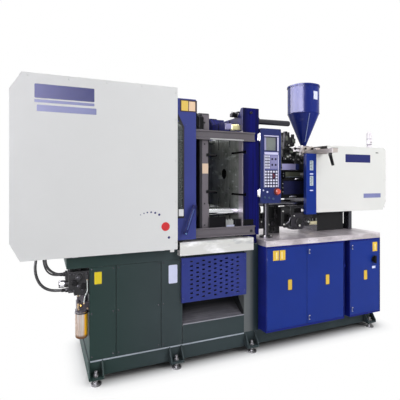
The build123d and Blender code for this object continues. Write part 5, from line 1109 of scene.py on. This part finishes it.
def curved_sheet(name, material, layers):
    """A thin curved sheet between an inner and an outer grid of points."""
    mesh = bmesh.new()
    low, high = [[[mesh.verts.new(Vector(p) * MM) for p in row] for row in layer] for layer in layers]
    rows, columns = len(low) - 1, len(low[0]) - 1
    for layer in (low, high):
        for i in range(rows):
            for k in range(columns):
                mesh.faces.new((layer[i][k], layer[i][k + 1], layer[i + 1][k + 1], layer[i + 1][k]))
    for i in range(rows):
        for k in (0, columns):
            mesh.faces.new((low[i][k], low[i + 1][k], high[i + 1][k], high[i][k]))
    for k in range(columns):
        for i in (0, rows):
            mesh.faces.new((low[i][k], low[i][k + 1], high[i][k + 1], high[i][k]))
    show(mesh, "hopper_slide", name, material, sharp=40)


def cone_strip(name, azimuth, z_low, z_high, half_width, lift, material):
    """A strip that follows the hopper's cone, as a sight glass frame does."""
    layers = []
    for height in (0.2, lift):
        layer = []
        for i in range(9):
            z = z_low + (z_high - z_low) * i / 8
            r = 28 + (z - 1860.3) / 335 * 136
            angles = [math.radians(azimuth) + k * half_width / 2 / r for k in range(-2, 3)]
            across = r + height
            layer.append([(hopper_x + math.cos(a) * across, math.sin(a) * across, z) for a in angles])
        layers.append(layer)
    curved_sheet(name, material, layers)


cone_strip("hopper_sight_frame", -106, 1890, 2188, 7, 3.0, hopper_paint)
cone_strip("hopper_sight_glass", -106, 1896, 2182, 3.4, 3.8, sight_glass)


def wall_plate(name, azimuth, z_low, z_high, half_width, material):
    """A thin plate wrapped on the hopper's cylinder."""
    angles = [math.radians(azimuth) + k * half_width / 4 / 164 for k in range(-4, 5)]
    layers = []
    for r in (164.2, 165.4):
        ring = [(hopper_x + r * math.cos(a), r * math.sin(a)) for a in angles]
        layers.append([[(x, y, z) for x, y in ring] for z in (z_low, z_high)])
    curved_sheet(name, material, layers)


wall_plate("hopper_plate", -80, 2326, 2410, 30, white_label)

# Hopper slide: end cap, stop, knobs and screws
on_carriage("slide_rail_cap", cap_grey, box(910, 984, -470, -440, 1798, 1804, 6))
on_carriage("slide_rail_stop", slide_steel, box(918, 976, -232, -196, 1800, 1822, 4))
on_carriage(
    "slide_rail_screws", dark_steel,
    *[cap_screw(7, (hopper_x, y, 1800), UP) for y in (-420, -360, -150, 70)],
)
on_hopper(
    "slide_block_knobs", black_plastic,
    *[
        lathe(((4, 0), (4, 8), (11, 10), (12, 14), (11, 20), (6, 23)), (x, -75, 1822))
        for x in (905, 989)
    ],
)
on_hopper(
    "slide_block_bolts", zinc,
    *[cap_screw(8, (x, y, 1848.3), UP) for x in (884, 1010) for y in (-58, 58)],
)

# Injection cover: screws, slot, plain bars, and vents at the back
on_carriage(
    "injection_cover_screws", cream_paint,
    *[
        button(6, 3.5, (x, y, z), axis)
        for z in (1200, 1500, 1720)
        for y, axis in ((unit_face, FRONT), (-unit_face, BACK))
        for x in (916, 1830)
    ],
)
on_carriage("injection_cover_slot", device_dark, plate((40, 9, 0.8), (1722, unit_face, 1789), 4, 0.3))
on_carriage("injection_cover_bars", navy_mark, plate((350, 84, 0.5), (1450, unit_face, 1722), 6, 0.2))
on_carriage("injection_cover_low_bar", line_mark, plate((250, 46, 0.5), (1652, unit_face, 1328), 4, 0.2))
on_carriage(
    "injection_cover_vents", device_dark,
    *[plate((190, 8, 0.8), (1600, -unit_face, 1640 - row * 22), 4, 0.3, axis=BACK) for row in range(9)],
)

# Guard post: pale plates and screws
on_carriage(
    "guard_post_plates", post_plate,
    *[plate((42, 96, 1.0), (832, post_face, z), 4, 0.3) for z in (1640, 1488)],
)
on_carriage(
    "guard_post_bars", white_label,
    *[plate((42, h, 1.0), (832, post_face, z), 4, 0.3) for z, h in ((1556, 13), (1393, 10))],
)
on_carriage(
    "guard_post_plate_lines", device_dark,
    *[
        plate((width, 5, 0.3), (828 + (k % 2) * 6, -269, middle + 36 - k * 14), 1.5, 0.1)
        for middle in (1640, 1488)
        for k, width in enumerate((26, 18, 30, 14, 24, 20))
    ],
)
on_carriage(
    "guard_post_screws", door_blue,
    *[button(5, 3, (x, post_face, z)) for z in (1180, 1735) for x in (784, 878)],
)

# Beacon: two dark rings and a small boss
on_carriage(
    "beacon_rings", device_dark,
    lathe(((26.2, 0), (27, 1), (27, 5), (26.2, 6)), (1677, -200, 1879), UP, 32),
    lathe(((26.2, 0), (27, 1), (27, 3), (26.2, 4)), (1677, -200, 1940), UP, 32),
    lathe(((6, 0), (6, 3), (3, 4)), (1677, -226, 1905), steps=16),
)

# Injection unit: band clamps, valves, coils, fittings and bracket plates
on_carriage(
    "band_clamps", dark_steel,
    *[
        box(x + 8, x + 54, -60, -54, 1547, 1563, 2, "x")
        + box(x + 8, x + 54, 54, 60, 1547, 1563, 2, "x")
        + cap_screw(6, (x + 20, -60, 1555))
        + cap_screw(6, (x + 42, -60, 1555))
        for x in range(330, 834, 84)
    ],
)
on_carriage(
    "valve_stack_blocks", cast_black,
    box(640, 720, -92, -56, 1700, 1760, 5, "y"), box(724, 764, -96, -56, 1684, 1720, 5, "y"),
    box(634, 700, -94, -40.5, 1806, 1880, 5, "y"), box(646, 684, -90, -44, 1880, 1962, 6),
    box(700, 748, -88, -41, 1764, 1800, 5, "y"), box(702, 746, -92, -34, 1836, 1872, 6, "x"),
    box(690, 728, -84, -30, 1872, 1934, 7), box(740, 786, -80, -36, 1872, 1922, 7),
    box(770.5, 850, -88, -20, 1661, 1742, 6), box(776, 822, -92, 60, 1742, 1790, 6, "y"),
    box(626, 642, -80, -44, 1730, 1800, 4, "y"),
)
on_carriage(
    "valve_coils_top", black_plastic,
    lathe(((24, 0), (25, 2), (25, 46), (22, 50)), (732, -16, 1900), UP, 28),
    lathe(((20, 0), (21, 2), (21, 30), (18, 34)), (664, -94, 1846), steps=26),
    lathe(((16, 0), (17, 2), (17, 40), (14, 44)), (763, -58, 1922), UP, 26),
    lathe(((14, 0), (15, 2), (15, 24), (12, 28)), (708, -58, 1934), UP, 24),
    lathe(((17, 0), (18, 2), (18, 26), (14, 30)), (724, -92, 1854), steps=26),
    lathe(((18, 0), (18, 22), (14, 26)), (850, -54, 1702), RIGHT, 24),
    box(645, 672, -30, 30, 1950, 1984, 4), box(650, 680, -86, -50, 1962, 1990, 5),
)
on_carriage(
    "valve_grey_parts", stack_grey,
    box(652, 688, -102, -92, 1716, 1750, 4, "y"), box(640, 664, -100, -94, 1816, 1834, 3, "y"),
    box(780, 818, -100, -92, 1748, 1776, 4, "y"), box(742, 768, -90, -80, 1882, 1912, 4, "y"),
    box(706, 742, -96, -88, 1772, 1794, 3, "y"), box(652, 676, -98, -90, 1896, 1944, 4, "y"),
)
on_carriage(
    "valve_bright_parts", zinc,
    hexagon(24, 12, (654, 10, 1984), UP, 10), hexagon(18, 8, (670, -102, 1732)),
    hexagon(16, 8, (704, -92, 1744), roll=15), hexagon(16, 8, (744, -96, 1702)),
    hexagon(14, 8, (664, -128, 1846)), hexagon(18, 10, (810, -88, 1706)),
    hexagon(14, 8, (798, -100, 1762), roll=20), *[cap_screw(6, (x, -92, 1712)) for x in (648, 712)],
)
on_carriage("bracket_plate", pale_lilac, box(606, 772, -98, -90.2, 1598, 1660, 3, "y"))
on_carriage("bracket_plate_shade", panel_blue, box(772, 818, -97, -90.2, 1598, 1660, 3, "y"))

# Barrel shield with its frame, and the dark guard plate below it
on_carriage("barrel_shield", shield_olive, box(660, 879, -74, -70, 1530, 1580, 2, "y"))
on_carriage(
    "barrel_shield_frame", black_paint,
    box(646, 879.5, -80, -68, 1580, 1592, 3, "x"), box(640, 879.5, -80, -68, 1512, 1523, 3, "x"),
    box(646, 660, -80, -68, 1523, 1580, 3), box(620, 640, -84, -66, 1500, 1600, 4),
)
# Painted highlight: a pale lip along the shield's lower edge, with its two screws in the same pale paint.
on_carriage(
    "barrel_shield_lip", highlight_edge_paint,
    box(664, 879, -78, -74, 1524, 1529, 1, "x"), *[button(5, 3, (630, -84, z)) for z in (1536, 1562)],
)
on_carriage("barrel_guard_plate", dark_navy, box(566, 879.5, -136, -130, 1314, 1506, 3, "y"))
on_carriage(
    "barrel_guard_frame", black_paint,
    box(566, 590, -142, -136, 1314, 1506, 3), box(850, 879.5, -144, -136, 1314, 1506, 3),
    box(590, 850, -142, -136, 1488, 1506, 3, "x"), box(590, 850, -142, -136, 1314, 1352, 3, "x"),
    box(600, 879, -130, -70, 1496, 1506, 2, "x"),
)
on_carriage("barrel_guard_inset", dark_navy, box(640, 812, -138, -136, 1398, 1480, 3, "y"))
on_carriage(
    "barrel_guard_fittings", zinc,
    box(662, 742, -148, -142, 1324, 1336, 2, "x"),
    *[cap_screw(6, (578, -142, z)) for z in (1380, 1420, 1460)],
)

# Traverse drive below the barrel, carried by the saddle: cylinder, end blocks, fittings and steel pipes
on_carriage(
    "traverse_blocks", cast_shade,
    box(742, 880, -226, -150, 1120, 1240, 14, "y"), box(613, 760, -238, -162, 1012, 1170, 22, "y"),
    box(760, 828, -244, -170, 1040, 1124, 12, "y"), box(812, 880, -178, -60, 1130, 1206, 8, "x"),
)
on_carriage("traverse_back_plate", cast_black, box(536, 745, -163, -150, 1056, 1236, 8, "y"))
on_carriage(
    "traverse_cylinder", cast_black,
    lathe(((36, 0), (40, 4), (40, 88), (36, 92)), (613, -200, 1196), LEFT, 32),
    box(596, 640, -244, -156, 1152, 1240, 10, "x"),
    lathe(((30, 0), (32, 2), (32, 60), (24, 66)), (613, -200, 1062), LEFT, 30),
    box(496, 530, -236, -164, 1090, 1234, 8, "x"), box(500, 560, -228, -172, 1046, 1092, 8, "x"),
    lathe(((34, 0), (36, 2), (36, 10), (30, 14)), (700, -238, 1090), steps=32),
    lathe(((26, 0), (28, 2), (28, 16), (22, 20)), (795, -244, 1086), steps=32),
)
on_carriage(
    "traverse_bright", zinc,
    hexagon(26, 12, (748, -226, 1196)), lathe(((10, 0), (10, 8), (7, 10)), (748, -238, 1196), steps=20),
    hexagon(20, 10, (697, -252, 1052), roll=12), hexagon(18, 10, (795, -264, 1086), roll=20),
    hexagon(14, 8, (514, -236, 1196)), hexagon(16, 8, (532, -228, 1068)),
    hexagon(15, 10, (640, -238, 1146), roll=25),
)
on_carriage(
    "traverse_pipes", dark_steel,
    tube(((560, -224, 1070), (584, -240, 1092), (596, -240, 1130), (640, -244, 1140)), 14),
    tube(((640, -242, 1222), (690, -240, 1232), (746, -222, 1222)), 14),
    tube(((656, -238, 1034), (640, -248, 1026), (600, -236, 1036), (590, -222, 1062)), 12),
)

# Valve rack on the worktop between the platen and the carriage
on_base(
    "worktop_valve_rack", cast_black,
    box(262, 500, -122, -44, 1022, 1120, 8, "y"), box(262, 330, -118, -48, 1120, 1176, 8),
    box(356, 410, -120, -50, 1120, 1170, 10), box(436, 498, -116, -52, 1120, 1236, 10),
    box(504, 566, -112, -56, 970.5, 1204, 8), box(512, 556, -108, -60, 1204, 1240, 6),
    box(280, 300, -110, -56, 970.5, 1022, 3), box(464, 484, -110, -56, 970.5, 1022, 3),
)
on_base(
    "worktop_valve_details", cast_shade,
    *[lathe(((20, 0), (22, 2), (22, 14), (17, 18)), (x, -122, 1068), steps=28) for x in (296, 383, 466)],
    lathe(((20, 0), (22, 2), (22, 12), (17, 16)), (536, -112, 1140), steps=28),
    box(330, 352, -126, -122, 1040, 1106, 3, "y"), box(418, 436, -126, -122, 1034, 1098, 3, "y"),
)
on_base(
    "worktop_valve_bright", zinc,
    *[hexagon(14, 6, (x, -126, z), roll=8) for x, z in ((341, 1090), (427, 1060))],
    *[hexagon(16, 7, (x, -84, z), UP, 14) for x, z in ((276, 1176), (384, 1170), (466, 1236))],
)

# Saddle: ribs, brace, drip tray, bolts and flange, and the bolts of the rear support
on_carriage(
    "saddle_ribs", rib_grey,
    *[box(992, 1000.5, y, y + 16, 1046, 1146, 3) for y in (-146, -104, -62, -20, 22, 64, 106)],
    box(986, 1000.5, -150, 122, 1030, 1046, 3, "y"),
)
on_carriage(
    "saddle_brace", black_paint,
    prism([(-150, 1046), (-128, 1046), (-84, 1148), (-106, 1148)], 984, 992, "x"),
)
on_carriage(
    "saddle_tray", tray_cream,
    box(882, 984, -168, -60, 1040, 1052, 3), box(882, 984, -170, -160, 1052, 1074, 3),
)
on_carriage(
    "saddle_bolts", dark_steel,
    *[bolt(10, (x, y, 1172), UP, 15) for x in (1030, 1130, 1230, 1325) for y in (-135, 135)],
    *[cap_screw(12, (x, -150, 1140)) for x in (1030, 1325)],
)
on_carriage("saddle_flange", cast_black, box(996, 1376, -157, 157, 1152, 1172.5, 6))
on_base(
    "rear_support_bolts", dark_steel,
    *[
        bolt(12, (1440, y, 1000), RIGHT, 10)
        + lathe(((26, 0), (26, 6), (20, 8)), (1440, y, 1262), RIGHT, 28)
        for y in (-150, 150)
    ],
)

# Bolts of the ram's flange and of the clamp cylinder's end
on_platen(
    "ram_flange_bolts", dark_steel,
    *[cap_screw(14, (-632, u, barrel_z + v), LEFT) for u, v in around(10, 120)],
)
on_base(
    "cylinder_end_bolts", dark_steel,
    *[cap_screw(16, (-1770, u, barrel_z + v), LEFT) for u, v in around(12, 165)],
)

# Floor: a shadow catcher that turns to plain white away from the machine, for the camera only, with a
# painted shadow darkening its colour close round the machine
floor_mesh = bmesh.new()
bmesh.ops.create_grid(floor_mesh, x_segments=2, y_segments=2, size=30.0)
floor_data = bpy.data.meshes.new("floor")
floor_mesh.to_mesh(floor_data)
floor_mesh.free()
floor = bpy.data.objects.new("floor", floor_data)
bpy.context.collection.objects.link(floor)
floor_white = Surface("floor_white", (0.86, 0.86, 0.86, 1.0), 0.7, gloss=0.1)
distance = floor_white.node("ShaderNodeNewGeometry").outputs["Position"]
for operation, amount in (
    ("SUBTRACT", (0.15, 0.0, 0.0)),
    ("ABSOLUTE", None),
    ("SUBTRACT", (1.34, 0.33, 0.0)),
    ("MAXIMUM", (0.0, 0.0, 0.0)),
    ("LENGTH", None),
):
    values = {0: distance, 1: amount} if amount else {0: distance}
    step = floor_white.node("ShaderNodeVectorMath", values, operation=operation)
    distance = step.outputs["Value" if operation == "LENGTH" else 0]
fade = floor_white.span(distance, 0.0, 0.27)
fade.node.interpolation_type = "SMOOTHSTEP"
# Painted shadow: the floor's colour goes dark grey close round the machine's outline.
floor_white.blend(floor_white.span(distance, 0.0, 0.16, 1.0, 0.0), (0.22, 0.22, 0.22, 1.0))
camera_ray = floor_white.node("ShaderNodeLightPath").outputs["Is Camera Ray"]
glow = floor_white.node("ShaderNodeEmission", {"Color": (1.0, 1.0, 1.0, 1.0), "Strength": 1.0})
layers = {0: floor_white.both(fade, camera_ray), 1: floor_white.shader.outputs[0], 2: glow.outputs[0]}
mixed = floor_white.node("ShaderNodeMixShader", layers)
floor_white.tree.links.new(mixed.outputs[0], floor_white.output.inputs[0])
floor_data.materials.append(floor_white.material)

# World: white to the camera and in reflections, a softer light on surfaces
world = bpy.data.worlds.new("studio")
bpy.context.scene.world = world
world.use_nodes = True
tree = world.node_tree
tree.nodes.clear()
shown = add_node(tree, "ShaderNodeBackground", {"Color": (1, 1, 1, 1), "Strength": 1.0})
lit = add_node(tree, "ShaderNodeBackground", {"Color": (0.96, 0.98, 1.0, 1), "Strength": 0.43})
path = add_node(tree, "ShaderNodeLightPath").outputs
rays = add_node(
    tree, "ShaderNodeMath", {0: path["Is Camera Ray"], 1: path["Is Transmission Ray"]}, operation="MAXIMUM"
)
rays = add_node(tree, "ShaderNodeMath", {0: rays.outputs[0], 1: path["Is Glossy Ray"]}, operation="MAXIMUM")
mixed = add_node(tree, "ShaderNodeMixShader", {0: rays.outputs[0], 1: lit.outputs[0], 2: shown.outputs[0]})
add_node(tree, "ShaderNodeOutputWorld", {0: mixed.outputs[0]})


# Lights
def soft_box(name, location, target, size, power, color=(1, 1, 1), reflections_only=False, mirrored=True):
    data = bpy.data.lights.new(name, "AREA")
    data.shape = "RECTANGLE"
    data.size, data.size_y = size
    data.energy = power
    data.color = color
    obj = bpy.data.objects.new(name, data)
    obj.location = location
    obj.rotation_euler = (Vector(target) - Vector(location)).to_track_quat("-Z", "Y").to_euler()
    obj.visible_camera = False
    obj.visible_glossy = mirrored
    if reflections_only:
        obj.visible_diffuse = False
        obj.visible_transmission = False
    bpy.context.collection.objects.link(obj)
    return obj


soft_box("key_light", (3.6, -5.2, 4.2), (0.2, 0, 1.1), (3.2, 3.2), 262, mirrored=False)
soft_box("top_light", (0.3, 0.0, 5.6), (0.2, 0, 1.0), (5.0, 3.0), 135)
soft_box("left_fill", (-6.5, 1.2, 1.5), (-1.2, 0.2, 0.9), (3.0, 2.6), 260)
soft_box("window_near", (-2.9, -2.6, 2.6), (1.0, 0, 1.9), (2.9, 3.2), 1050, (0.93, 0.90, 1.0), True)
soft_box("window_middle", (-3.2, 0.3, 2.6), (1.0, 0, 1.9), (3.0, 3.2), 900, (0.93, 0.90, 1.0), True)
soft_box("window_far", (-2.9, 3.0, 2.6), (1.0, 0, 1.9), (2.6, 3.2), 500, (0.93, 0.90, 1.0), True)

bpy.context.scene.view_settings.view_transform = "Standard"
